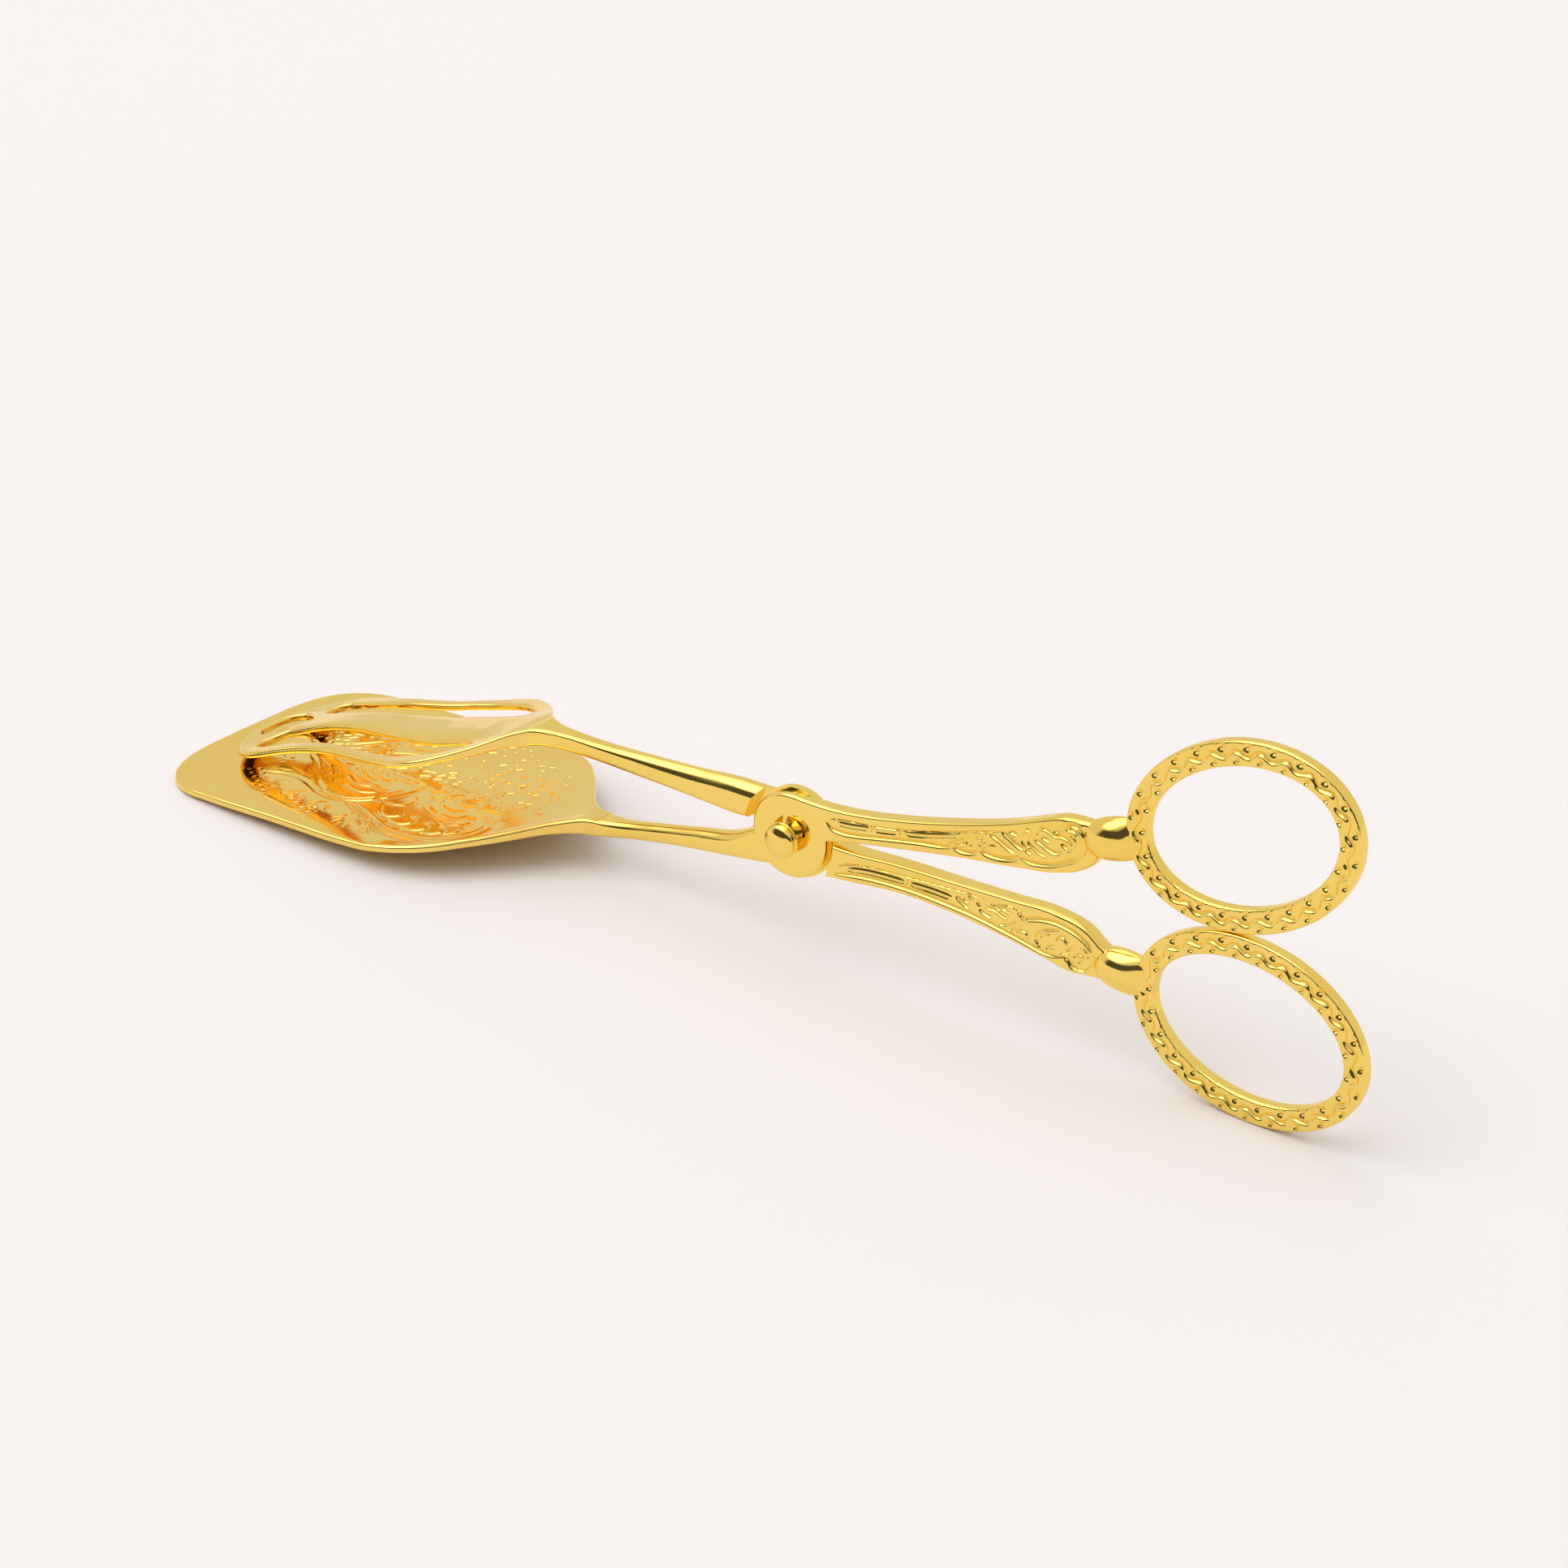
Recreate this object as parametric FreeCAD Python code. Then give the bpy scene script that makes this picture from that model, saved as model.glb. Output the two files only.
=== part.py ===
import FreeCAD, Part
import math
import os

# Scissor-action serving tongs, cast and gold plated.
# Units are millimetres.  +Z is up, +X points to the finger rings, +Y runs along the pivot axis.
# The origin is on the ground, under the middle of the closed tongs as they lie on a table.

V = FreeCAD.Vector

# The layout point that every x and z below is measured from, near the pivot.
LAYOUT_X = 8.3
LAYOUT_Z = 17.75

# Pivot axis, from the layout point.
PIVOT = (0.7, 0.9)

# Lap joint at the pivot.
FRONT_HUB_RADIUS = 6.75
REAR_HUB_RADIUS = 7.2
HUB_THICKNESS = 3.6
LAP_CLEARANCE = 1.0
LAP_GAP = 0.06

# Pivot rivet and its flanged washer.  The recess is wider than the washer and sits off centre.
SHANK_RADIUS = 1.4
SHANK_FIT = 0.05
HEAD_RADIUS = 2.6
HEAD_RIM = 0.75
HEAD_DOME = 0.75
WASHER_RADIUS = 2.8
WASHER_NECK_RADIUS = 1.7
WASHER_FLANGE = 0.45
WASHER_STANDOFF = 1.3
RECESS_RADIUS = 2.75
RECESS_SHIFT = (0.05, 0.75)
RECESS_DEPTH = 0.9
TAIL_RADIUS = 2.4
TAIL_HEIGHT = 0.75

# Finger rings: the long axis is turned outward from the handle line.
RING_OUTER = (18.4, 13.88)
RING_INNER = (15.0, 10.2)
RING_THICKNESS = 2.0
RING_EDGE = 0.4
RING_TURN = 5.1
RING_DISTANCE = 78.6
UPPER_HANDLE_ANGLE = 18.27
LOWER_HANDLE_ANGLE = -2.75

# Ball between handle and ring: half sizes along the handle, across it, and in depth.
BALL = (3.9, 3.35, 2.5)
UPPER_BALL = (54.35, 17.6)
LOWER_BALL = (57.75, -1.85)

# Sheet thickness of the two jaws and the small space left between their tips.
SHEET = 1.2
JAW_OFFSET_Y = 0.7

# The blade's underside is slightly hollow across its front, so it stands on its two front corners.
UNDERSIDE_RADIUS = 1300.0
UNDERSIDE_HOLLOW = 0.2

# Brazed joints between the jaws and the cast levers.
BLADE_SEAM_X = -36.0
JAW_SEAM_X = -48.8

# Bars of the levers: x, centre z, height and depth of the section.
UPPER_HANDLE = [
    (1.0, 3.9, 7.5, HUB_THICKNESS),
    (8.0, 4.95, 5.3, HUB_THICKNESS),
    (12.0, 5.6, 4.6, 3.4),
    (20.0, 7.2, 4.5, 3.0),
    (30.0, 9.62, 5.3, 2.8),
    (40.0, 12.2, 7.0, 2.7),
    (45.0, 13.7, 8.0, 2.7),
    (48.5, 14.9, 7.7, 2.6),
    (51.0, 16.1, 5.5, 2.6),
    (54.0, 17.3, 4.4, 2.4),
]
LOWER_HANDLE = [
    (3.0, -0.6, 7.0, HUB_THICKNESS),
    (8.0, -0.8, 5.4, HUB_THICKNESS),
    (12.0, -0.6, 4.9, 3.4),
    (20.0, 0.2, 4.6, 3.0),
    (30.0, 0.4, 5.1, 2.8),
    (40.0, 0.2, 6.6, 2.7),
    (46.5, -0.1, 8.0, 2.7),
    (51.2, -0.85, 7.9, 2.6),
    (54.2, -1.5, 5.6, 2.6),
    (57.0, -1.9, 4.4, 2.4),
]
FRONT_ARM = [
    (BLADE_SEAM_X, -9.9, 2.7, 4.4),
    (-34.5, -9.65, 2.7, 3.8),
    (-31.5, -9.1, 2.7, 3.1),
    (-25.0, -7.6, 2.9, 2.8),
    (-17.0, -5.9, 3.3, 3.0),
    (-10.0, -4.35, 3.8, HUB_THICKNESS),
    (-1.0, -1.2, 7.0, HUB_THICKNESS),
]
REAR_ARM = [
    (JAW_SEAM_X, 2.2, 2.9, 6.6),
    (-47.5, 2.35, 2.8, 5.2),
    (-45.5, 2.45, 2.7, 3.9),
    (-42.5, 2.55, 2.7, 3.1),
    (-37.0, 2.65, 2.75, 2.8),
    (-28.0, 2.85, 3.4, 2.8),
    (-18.0, 3.1, 4.0, 3.0),
    (-10.0, 3.45, 4.7, HUB_THICKNESS),
    (-1.0, 2.6, 7.6, HUB_THICKNESS),
]
BAR_ROUNDING = 0.55

# Half outline of the solid blade, from the front centre to the seam.
BLADE_OUTLINE = [
    (-113.4, 5.0), (-113.2, 11.0), (-112.4, 15.5), (-110.8, 19.2), (-108.2, 22.0), (-104.5, 23.7),
    (-99.0, 24.1), (-85.0, 24.1), (-70.0, 24.0), (-64.0, 23.6), (-59.5, 22.2), (-55.0, 19.7),
    (-50.5, 15.5), (-46.5, 10.9), (-43.0, 6.6), (-40.0, 3.8), (-37.5, 2.4), (BLADE_SEAM_X, 2.2),
]
# Side profile of the solid blade: x, top z, thickness.
BLADE_PROFILE = [
    (-113.6, -16.55, SHEET), (-110.5, -16.55, SHEET), (-107.5, -16.52, SHEET), (-104.0, -16.3, SHEET),
    (-98.0, -15.85, SHEET), (-90.0, -15.3, SHEET), (-80.0, -14.7, SHEET),
    (-70.0, -14.15, SHEET), (-62.0, -13.4, SHEET), (-55.0, -12.5, 1.35), (-48.0, -11.3, 1.6),
    (-42.0, -9.9, 2.1), (-38.5, -8.9, 2.6), (BLADE_SEAM_X, -8.5, 2.75),
]

# Half outline of the openwork jaw, from the front centre to the seam.
JAW_OUTLINE = [
    (-109.0, 2.5), (-108.2, 6.2), (-106.2, 9.9), (-103.4, 12.8), (-100.6, 14.0), (-98.2, 14.0),
    (-95.0, 13.4), (-90.0, 12.6), (-84.5, 12.5), (-78.0, 13.4), (-72.0, 14.8), (-66.5, 15.8),
    (-62.5, 15.3), (-58.8, 13.2), (-55.0, 10.0), (-52.0, 6.6), (-50.0, 4.3), (JAW_SEAM_X, 3.3),
]
# Side profile of the openwork jaw: x, top z, thickness.
JAW_PROFILE = [
    (-109.4, -15.0, SHEET), (-106.0, -14.3, SHEET), (-102.0, -13.2, SHEET), (-98.0, -11.8, SHEET),
    (-94.0, -10.3, SHEET), (-90.0, -9.0, SHEET), (-86.0, -7.9, SHEET), (-82.0, -7.0, SHEET),
    (-78.0, -6.2, SHEET), (-74.0, -5.2, SHEET), (-70.0, -4.2, SHEET), (-65.0, -2.6, SHEET),
    (-60.0, -0.9, SHEET), (-55.0, 1.1, 1.7), (-51.5, 2.7, 2.3), (JAW_SEAM_X, 3.65, 2.9),
]
# One of the two long side slots, drawn on the +Y side.
SLOT = [
    (-102.0, 6.6), (-100.8, 4.8), (-97.5, 3.9), (-93.0, 3.3), (-88.0, 3.3), (-81.0, 3.9), (-74.0, 4.9),
    (-67.0, 5.8), (-61.0, 5.9), (-57.6, 6.4), (-57.2, 8.0), (-59.0, 10.0), (-62.0, 11.7),
    (-67.0, 12.6), (-74.0, 12.0), (-80.0, 10.7), (-87.0, 9.8), (-93.0, 10.1), (-98.0, 10.9),
    (-101.4, 10.6), (-102.4, 8.8),
]
# Pear-shaped opening at the tip, half of it.
TIP_OPENING = [(-100.4, 0.0), (-101.6, 1.6), (-103.3, 3.3), (-105.0, 4.1), (-106.5, 3.1), (-107.2, 0.0)]


def laid(x, y, z):
    """A point given from the layout point, in the frame of the part."""
    return V(LAYOUT_X + x, y, LAYOUT_Z + z)


def closed_spline(points):
    """A smooth closed wire through points."""
    curve = Part.BSplineCurve()
    curve.interpolate(Points=points, PeriodicFlag=True)
    return Part.Wire([curve.toShape()])


def open_spline(points):
    """A smooth edge through points."""
    curve = Part.BSplineCurve()
    curve.interpolate(Points=points)
    return curve.toShape()


def rounded_section(x, z, height, depth, angle):
    """A rounded rectangle across a bar that runs at an angle in the XZ plane."""
    radius = BAR_ROUNDING
    half_h = height / 2 - radius
    half_d = depth / 2 - radius
    up = V(-math.sin(angle), 0, math.cos(angle))
    side = V(0, 1, 0)
    centre = laid(x, 0, z)
    edges = []
    corners = [(1, 1), (-1, 1), (-1, -1), (1, -1)]
    for index, (sign_d, sign_h) in enumerate(corners):
        start = math.pi / 2 * index
        points = []
        for step in range(3):
            turn = start + math.pi / 4 * step
            out = side * math.cos(turn) + up * math.sin(turn)
            points.append(centre + side * (sign_d * half_d) + up * (sign_h * half_h) + out * radius)
        edges.append(Part.Arc(points[0], points[1], points[2]).toShape())
        next_d, next_h = corners[(index + 1) % 4]
        end_turn = start + math.pi / 2
        out = side * math.cos(end_turn) + up * math.sin(end_turn)
        finish = centre + side * (next_d * half_d) + up * (next_h * half_h) + out * radius
        edges.append(Part.makeLine(points[2], finish))
    return Part.Wire(edges)


def bar(stations):
    """A tapering bar lofted through rounded sections, square to the line through their centres."""
    wires = []
    last = len(stations) - 1
    for index, (x, z, height, depth) in enumerate(stations):
        before = stations[max(index - 1, 0)]
        after = stations[min(index + 1, last)]
        angle = math.atan2(after[1] - before[1], after[0] - before[0])
        if index in (0, last):
            angle = 0.0
        wires.append(rounded_section(x, z, height, depth, angle))
    return Part.makeLoft(wires, True, False)


def pivot_cylinder(radius, y_from, y_to):
    """A cylinder round the pivot axis."""
    return Part.makeCylinder(radius, y_to - y_from, laid(PIVOT[0], y_from, PIVOT[1]), V(0, 1, 0))


def finger_ring(angle, turn):
    """An oval ring in the plane of the tongs, at the end of a handle."""
    def oval(half_sizes):
        centre = laid(0, 0, 0)
        long_axis = V(math.cos(angle + turn), 0, math.sin(angle + turn))
        centre += V(math.cos(angle), 0, math.sin(angle)) * RING_DISTANCE
        centre.y = -RING_THICKNESS / 2
        short_axis = V(0, 1, 0).cross(long_axis)
        curve = Part.Ellipse(centre + long_axis * half_sizes[0], centre + short_axis * half_sizes[1], centre)
        face = Part.Face(Part.Wire([curve.toShape()]))
        return face.extrude(V(0, RING_THICKNESS, 0))
    ring = oval(RING_OUTER).cut(oval(RING_INNER))
    rims = [edge for edge in ring.Edges if edge.Length > 50]
    return ring.makeFillet(RING_EDGE, rims)


def ball(centre, angle):
    """The rounded bead between a handle and its ring."""
    bead = Part.makeSphere(1.0)
    shape = FreeCAD.Matrix()
    shape.scale(BALL[0], BALL[2], BALL[1])
    bead = bead.transformGeometry(shape)
    bead.rotate(V(0, 0, 0), V(0, 1, 0), -math.degrees(angle))
    bead.translate(laid(centre[0], 0, centre[1]))
    return bead


def lever(arm, handle, bead, angle, turn, side):
    """One cast lever.  side is -1 for the lever whose hub is in front and +1 for the one behind."""
    own, mate = FRONT_HUB_RADIUS, REAR_HUB_RADIUS
    if side > 0:
        own, mate = mate, own
    inner = LAP_GAP / 2
    outer = HUB_THICKNESS / 2
    hub = sorted((side * inner, side * outer))
    room = sorted((side * inner, -side * (outer + 1.0)))
    body = bar(arm).fuse(bar(handle))
    body = body.cut(pivot_cylinder(mate + LAP_CLEARANCE, room[0], room[1]))
    body = body.fuse(pivot_cylinder(own, hub[0], hub[1]))
    body = body.fuse(ball(bead, angle))
    return body.fuse(finger_ring(angle, turn))


def sheet(outline, profile, offset_y):
    """A shaped plate: its plan outline and its side profile, both extruded and intersected."""
    right = [laid(x, offset_y * bend(x, outline) + y, -40) for x, y in outline]
    left = [laid(x, offset_y * bend(x, outline) - y, -40) for x, y in outline]
    edge = open_spline(list(reversed(right)) + left)
    closing = Part.makeLine(left[-1], right[-1])
    plan = Part.Face(Part.Wire([edge, closing])).extrude(V(0, 0, 60))
    top = [laid(x, -40, z) for x, z, thick in profile]
    low = [laid(x, -40, z - thick) for x, z, thick in profile]
    wire = Part.Wire([
        open_spline(top),
        Part.makeLine(top[-1], low[-1]),
        open_spline(list(reversed(low))),
        Part.makeLine(low[0], top[0]),
    ])
    slab = Part.Face(wire).extrude(V(0, 80, 0))
    return plan.common(slab)


def bend(x, outline):
    """Share of the sideways offset at x: none at the seam, all of it over the front of the jaw."""
    seam_x = outline[-1][0]
    return min(1.0, (seam_x - x) / 20.0)


def opening(points, side):
    """A vertical cutter with a smooth outline."""
    wire = closed_spline([laid(x, JAW_OFFSET_Y + side * y, -40) for x, y in points])
    return Part.Face(wire).extrude(V(0, 0, 60))


def make_front_lever():
    angle = math.radians(UPPER_HANDLE_ANGLE)
    body = lever(FRONT_ARM, UPPER_HANDLE, UPPER_BALL, angle, math.radians(RING_TURN), -1)
    front = -HUB_THICKNESS / 2
    corners = []
    for index in range(9):
        turn = math.radians(22.5 + 45 * index)
        x = PIVOT[0] + RECESS_SHIFT[0] + RECESS_RADIUS * math.cos(turn)
        z = PIVOT[1] + RECESS_SHIFT[1] + RECESS_RADIUS * math.sin(turn)
        corners.append(laid(x, front - 1, z))
    recess = Part.Face(Part.makePolygon(corners)).extrude(V(0, RECESS_DEPTH + 1, 0))
    body = body.cut(recess)
    return body.cut(pivot_cylinder(SHANK_RADIUS, front - 1, 1.0))


def make_rear_lever():
    angle = math.radians(LOWER_HANDLE_ANGLE)
    body = lever(REAR_ARM, LOWER_HANDLE, LOWER_BALL, angle, math.radians(-RING_TURN), 1)
    return body.cut(pivot_cylinder(SHANK_RADIUS + SHANK_FIT, -1.0, HUB_THICKNESS))


def make_blade():
    body = sheet(BLADE_OUTLINE, BLADE_PROFILE, 0.0)
    base = V(-120, 0, UNDERSIDE_HOLLOW - UNDERSIDE_RADIUS)
    return body.cut(Part.makeCylinder(UNDERSIDE_RADIUS, 60, base, V(1, 0, 0)))


def make_jaw():
    body = sheet(JAW_OUTLINE, JAW_PROFILE, JAW_OFFSET_Y)
    for side in (1, -1):
        body = body.cut(opening(SLOT, side))
    outline = TIP_OPENING + [(x, -y) for x, y in reversed(TIP_OPENING[1:-1])]
    return body.cut(opening(outline, 1))


def make_washer():
    """A flanged washer: its neck stands in the recess and its flange carries the rivet head."""
    floor = -HUB_THICKNESS / 2 + RECESS_DEPTH
    flange_back = -HUB_THICKNESS / 2 - WASHER_STANDOFF
    neck = pivot_cylinder(WASHER_NECK_RADIUS, flange_back, floor)
    flange = pivot_cylinder(WASHER_RADIUS, flange_back - WASHER_FLANGE, flange_back)
    return neck.fuse(flange).cut(pivot_cylinder(SHANK_RADIUS, -6, 6))


def make_rivet():
    """Shank, low domed front head and formed rear tail, turned about the pivot axis."""
    seat = -HUB_THICKNESS / 2 - WASHER_STANDOFF - WASHER_FLANGE
    rim = seat - HEAD_RIM
    tail = HUB_THICKNESS / 2 + LAP_GAP
    half = [
        (0.0, rim - HEAD_DOME),
        (HEAD_RADIUS - 0.1, rim),
        (HEAD_RADIUS, rim + 0.15),
        (HEAD_RADIUS, seat),
        (SHANK_RADIUS, seat),
        (SHANK_RADIUS, tail),
        (TAIL_RADIUS, tail),
        (TAIL_RADIUS - 0.25, tail + TAIL_HEIGHT),
        (0.0, tail + TAIL_HEIGHT),
    ]
    points = [laid(PIVOT[0] + radius, y, PIVOT[1]) for radius, y in half]
    crown = laid(PIVOT[0] + HEAD_RADIUS * 0.55, rim - HEAD_DOME * 0.7, PIVOT[1])
    edges = [Part.Arc(points[0], crown, points[1]).toShape()]
    for start, finish in zip(points[1:], points[2:] + points[:1]):
        edges.append(Part.makeLine(start, finish))
    face = Part.Face(Part.Wire(edges))
    return face.revolve(laid(PIVOT[0], 0, PIVOT[1]), V(0, 1, 0), 360)


def main():
    os.makedirs("parts", exist_ok=True)
    parts = {
        "blade_lever": make_front_lever(),
        "jaw_lever": make_rear_lever(),
        "spade_blade": make_blade(),
        "openwork_jaw": make_jaw(),
        "pivot_rivet": make_rivet(),
        "pivot_washer": make_washer(),
    }
    for name, shape in parts.items():
        solid = shape.Solids[0]
        box = solid.BoundBox
        print(name, len(shape.Solids), solid.isValid(), round(solid.Volume, 1),
              [round(v, 2) for v in (box.XMin, box.XMax, box.YMin, box.YMax, box.ZMin, box.ZMax)])
        solid.exportStep("parts/" + name + ".step")


main()
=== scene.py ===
import math

import bmesh
import bpy
import numpy as np
from mathutils import Matrix, Vector
from mathutils.geometry import delaunay_2d_cdt


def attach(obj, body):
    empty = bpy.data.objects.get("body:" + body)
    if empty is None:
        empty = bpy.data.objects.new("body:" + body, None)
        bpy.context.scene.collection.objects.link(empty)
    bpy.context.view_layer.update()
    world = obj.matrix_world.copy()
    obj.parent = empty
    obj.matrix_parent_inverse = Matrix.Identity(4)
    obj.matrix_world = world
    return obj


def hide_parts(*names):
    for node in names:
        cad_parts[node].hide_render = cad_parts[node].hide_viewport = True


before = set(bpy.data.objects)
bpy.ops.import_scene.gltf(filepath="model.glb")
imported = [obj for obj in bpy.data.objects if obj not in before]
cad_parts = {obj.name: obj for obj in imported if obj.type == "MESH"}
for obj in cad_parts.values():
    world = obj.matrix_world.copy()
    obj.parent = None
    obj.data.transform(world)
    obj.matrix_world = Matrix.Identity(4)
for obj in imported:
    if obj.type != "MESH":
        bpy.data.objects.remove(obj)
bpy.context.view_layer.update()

# Gold plated serving tongs.  Lengths are in millimetres; MM turns them into metres.
MM = 0.001

# The camera: where it looks from, in degrees, and the point it looks at.
CAMERA_AZIMUTH = 35.72
CAMERA_ELEVATION = 26.18
CAMERA_ROLL = 2.07
CAMERA_DISTANCE = 501.5
CAMERA_AIM = (5.18, 1.95, 24.67)
CAMERA_LENS = 77.27

# Light: a pale room that is brighter round SKY_SIDE and dim low down round DIM_SIDE, and one
# large soft light.  An EDGE or TOP pair is where a change begins and ends.
ROOM_LIGHT = 0.8
ROOM_SKY = 2.8
SKY_SIDE = (-0.35, -0.4, 0.85)
SKY_EDGE = (0.8, 0.97)
ROOM_DIM = 0.08
DIM_SIDE = (0.25, -0.97, 0.0)
DIM_EDGE = (0.32, 0.56)
DIM_TOP = (0.34, 0.5)
ROOM_COLOR = (1.0, 0.985, 0.975, 1)
FLOOR_COLOR = (0.775, 0.745, 0.745, 1)
FLOOR_SIZE = 8
FLOOR_DROP = 0.00002
SOFTBOX_PLACE = (-1.1, 0.75, 2.3)
SOFTBOX_SIDE = 1.6
SOFTBOX_LIGHT = 1.0
SOFTBOX_COLOR = (1.0, 0.985, 0.97)

# Gold: the tint of its glancing reflections, and what its textures are scaled by per metre.
GOLD_TINT = (1.0, 0.95, 0.82, 1.0)
DRIFT_SCALE = 40.0
SMEAR_SCALE = 260.0
RIPPLE_SCALE = 420.0
HAIR_SCALE = (400.0, 6000.0, 6000.0)
SHARP_ANGLE = 46

# The layout point that the tables measure from, and the pivot axis from there.
LAYOUT_X = 8.3
LAYOUT_Z = 17.75
PIVOT = (0.7, 0.9)

# Lap joint.
FRONT_HUB_RADIUS = 6.75
REAR_HUB_RADIUS = 7.2
HUB_THICKNESS = 3.6
FRONT_LAP_CLEARANCE = 0.9
REAR_LAP_CLEARANCE = 1.35
LAP_GAP = 0.06
HUB_EDGE = 0.55
HUB_CROWN = 0.12

# Rivet and washer.
SHANK_RADIUS = 1.4
SHANK_FIT = 0.05
HEAD_RADIUS = 2.6
HEAD_RIM = 0.75
HEAD_DOME = 0.75
WASHER_RADIUS = 2.8
WASHER_NECK_RADIUS = 1.7
WASHER_FLANGE = 0.45
WASHER_STANDOFF = 1.3
RECESS_RADIUS = 2.75
RECESS_SHIFT = (0.05, 0.75)
RECESS_DEPTH = 0.9
TAIL_RADIUS = 2.4
TAIL_HEIGHT = 0.75

# Finger rings.
RING_OUTER = (18.4, 13.88)
RING_INNER = (15.0, 10.2)
RING_THICKNESS = 2.0
RING_EDGE = 0.38
RING_TURN = 5.1
RING_DISTANCE = 78.6
RING_WAVES = 24
RING_STEPS = 600
WAVE_HEIGHT = 0.42
WAVE_CUT = (0.4, 0.25)
RING_DOT_CUT = (0.58, 0.3)
RING_DOT_OUT = 1.02
UPPER_HANDLE_ANGLE = 18.27
LOWER_HANDLE_ANGLE = -2.75

# Bead between handle and ring: place along it, half height, half depth.
BEAD = [
    (-3.9, 1.6, 1.05), (-3.3, 2.25, 1.6), (-2.2, 2.8, 2.15), (-0.8, 3.12, 2.45), (0.6, 3.25, 2.45),
    (2, 3.25, 2.1), (3.3, 3.1, 1.45), (4.4, 2.9, 0.98), (5.2, 2.7, 0.8),
]
UPPER_BEAD = (54.35, 17.6)
LOWER_BEAD = (57.75, -1.85)

# Jaws.
SHEET = 1.2
JAW_OFFSET_Y = 0.7
BLADE_SEAM_X = -36.0
JAW_SEAM_X = -48.8

# Bars of the levers: x, centre z, height, depth, edge radius.
UPPER_HANDLE = [
    (1, 3.9, 7.5, 2.6, 0.5), (8, 5.05, 5.4, 2.6, 0.45), (12, 5.78, 4.75, 2.65, 0.42),
    (20, 7.4, 4.6, 2.75, 0.42), (30, 9.68, 5.3, 2.8, 0.42), (40, 12.2, 7, 2.7, 0.45),
    (45, 13.75, 8.1, 2.7, 0.5), (48.5, 15.1, 8.1, 2.6, 0.55), (51.2, 16.15, 6.6, 2.6, 0.65),
    (53.2, 16.95, 4.7, 2.4, 0.8),
]
LOWER_HANDLE = [
    (3, -0.6, 7, 3.6, 0.45), (8, -0.8, 5.4, 3.6, 0.45), (12, -0.6, 4.9, 3.4, 0.42),
    (20, 0.2, 4.6, 3, 0.42), (30, 0.4, 5.1, 2.8, 0.42), (40, 0.2, 6.6, 2.7, 0.45),
    (46.5, -0.1, 8, 2.7, 0.55), (51.2, -0.85, 7.9, 2.6, 0.65), (54.2, -1.5, 5.6, 2.6, 0.7),
    (57, -1.9, 4.4, 2.4, 0.8),
]
FRONT_ARM = [
    (-36, -9.9, 2.7, 4.4, 0.6), (-34.5, -9.7, 2.8, 3.8, 0.9), (-31.5, -9.15, 2.9, 3.1, 1.25),
    (-25, -7.7, 3.1, 2.8, 1.36), (-17, -6, 3.6, 3, 1.46), (-10, -4.5, 4.2, 3.6, 1.6),
    (-1, -1.2, 7, 3.6, 0.6),
]
REAR_ARM = [
    (-48.8, 2.2, 2.9, 6.6, 0.6), (-47.5, 2.35, 2.8, 5.2, 0.6), (-45.5, 2.45, 2.7, 3.9, 0.6),
    (-42.5, 2.55, 2.7, 3.1, 0.6), (-37, 2.65, 2.85, 2.8, 0.75), (-28, 2.9, 3.6, 2.8, 0.95),
    (-18, 3.25, 4.6, 3, 1.15), (-10, 3.65, 5.4, 3.6, 1.2), (-5, 3.8, 5.5, 3.6, 1.2),
    (-1, 3.2, 7.4, 3.6, 1.2),
]

BLADE_OUTLINE = [
    (-113.4, 5), (-113.2, 11), (-112.4, 15.5), (-110.8, 19.2), (-108.2, 22), (-104.5, 23.7),
    (-99, 24.1), (-85, 24.1), (-70, 24), (-64, 23.6), (-59.5, 22.2), (-55, 19.7),
    (-50.5, 15.5), (-46.5, 10.9), (-43, 6.6), (-40, 3.8), (-37.5, 2.4), (BLADE_SEAM_X, 2.2),
]
BLADE_PROFILE = [
    (-113.6, -16.55, SHEET), (-110.5, -16.55, SHEET), (-107.5, -16.52, SHEET), (-104, -16.3, SHEET),
    (-98, -15.85, SHEET), (-90, -15.3, SHEET), (-80, -14.7, SHEET), (-70, -14.15, SHEET),
    (-62, -13.4, SHEET), (-55, -12.5, 1.35), (-48, -11.3, 1.6), (-42, -9.9, 2.1),
    (-38.5, -8.9, 2.6), (BLADE_SEAM_X, -8.5, 2.75),
]
JAW_OUTLINE = [
    (-109, 2.5), (-108.2, 6.2), (-106.2, 9.9), (-103.4, 12.8), (-100.6, 14), (-98.2, 14),
    (-95, 13.4), (-90, 12.6), (-84.5, 12.5), (-78, 13.4), (-72, 14.8), (-66.5, 15.8),
    (-62.5, 15.3), (-58.8, 13.2), (-55, 10), (-52, 6.6), (-50, 4.3), (JAW_SEAM_X, 3.3),
]
JAW_PROFILE = [
    (-109.4, -15, SHEET), (-106, -14.3, SHEET), (-102, -13.2, SHEET), (-98, -11.8, SHEET),
    (-94, -10.3, SHEET), (-90, -9, SHEET), (-86, -7.9, SHEET), (-82, -7, SHEET),
    (-78, -6.2, SHEET), (-74, -5.2, SHEET), (-70, -4.2, SHEET), (-65, -2.6, SHEET),
    (-60, -0.9, SHEET), (-55, 1.1, 1.7), (-51.5, 2.7, 2.3), (JAW_SEAM_X, 3.65, 2.9),
]
SLOT = [
    (-102, 6.6), (-100.8, 4.8), (-97.5, 3.9), (-93, 3.3), (-88, 3.3), (-81, 3.9), (-74, 4.9),
    (-67, 5.8), (-61, 5.9), (-57.6, 6.4), (-57.2, 8), (-59, 10), (-62, 11.7),
    (-67, 12.6), (-74, 12), (-80, 10.7), (-87, 9.8), (-93, 10.1), (-98, 10.9),
    (-101.4, 10.6), (-102.4, 8.8),
]
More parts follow.
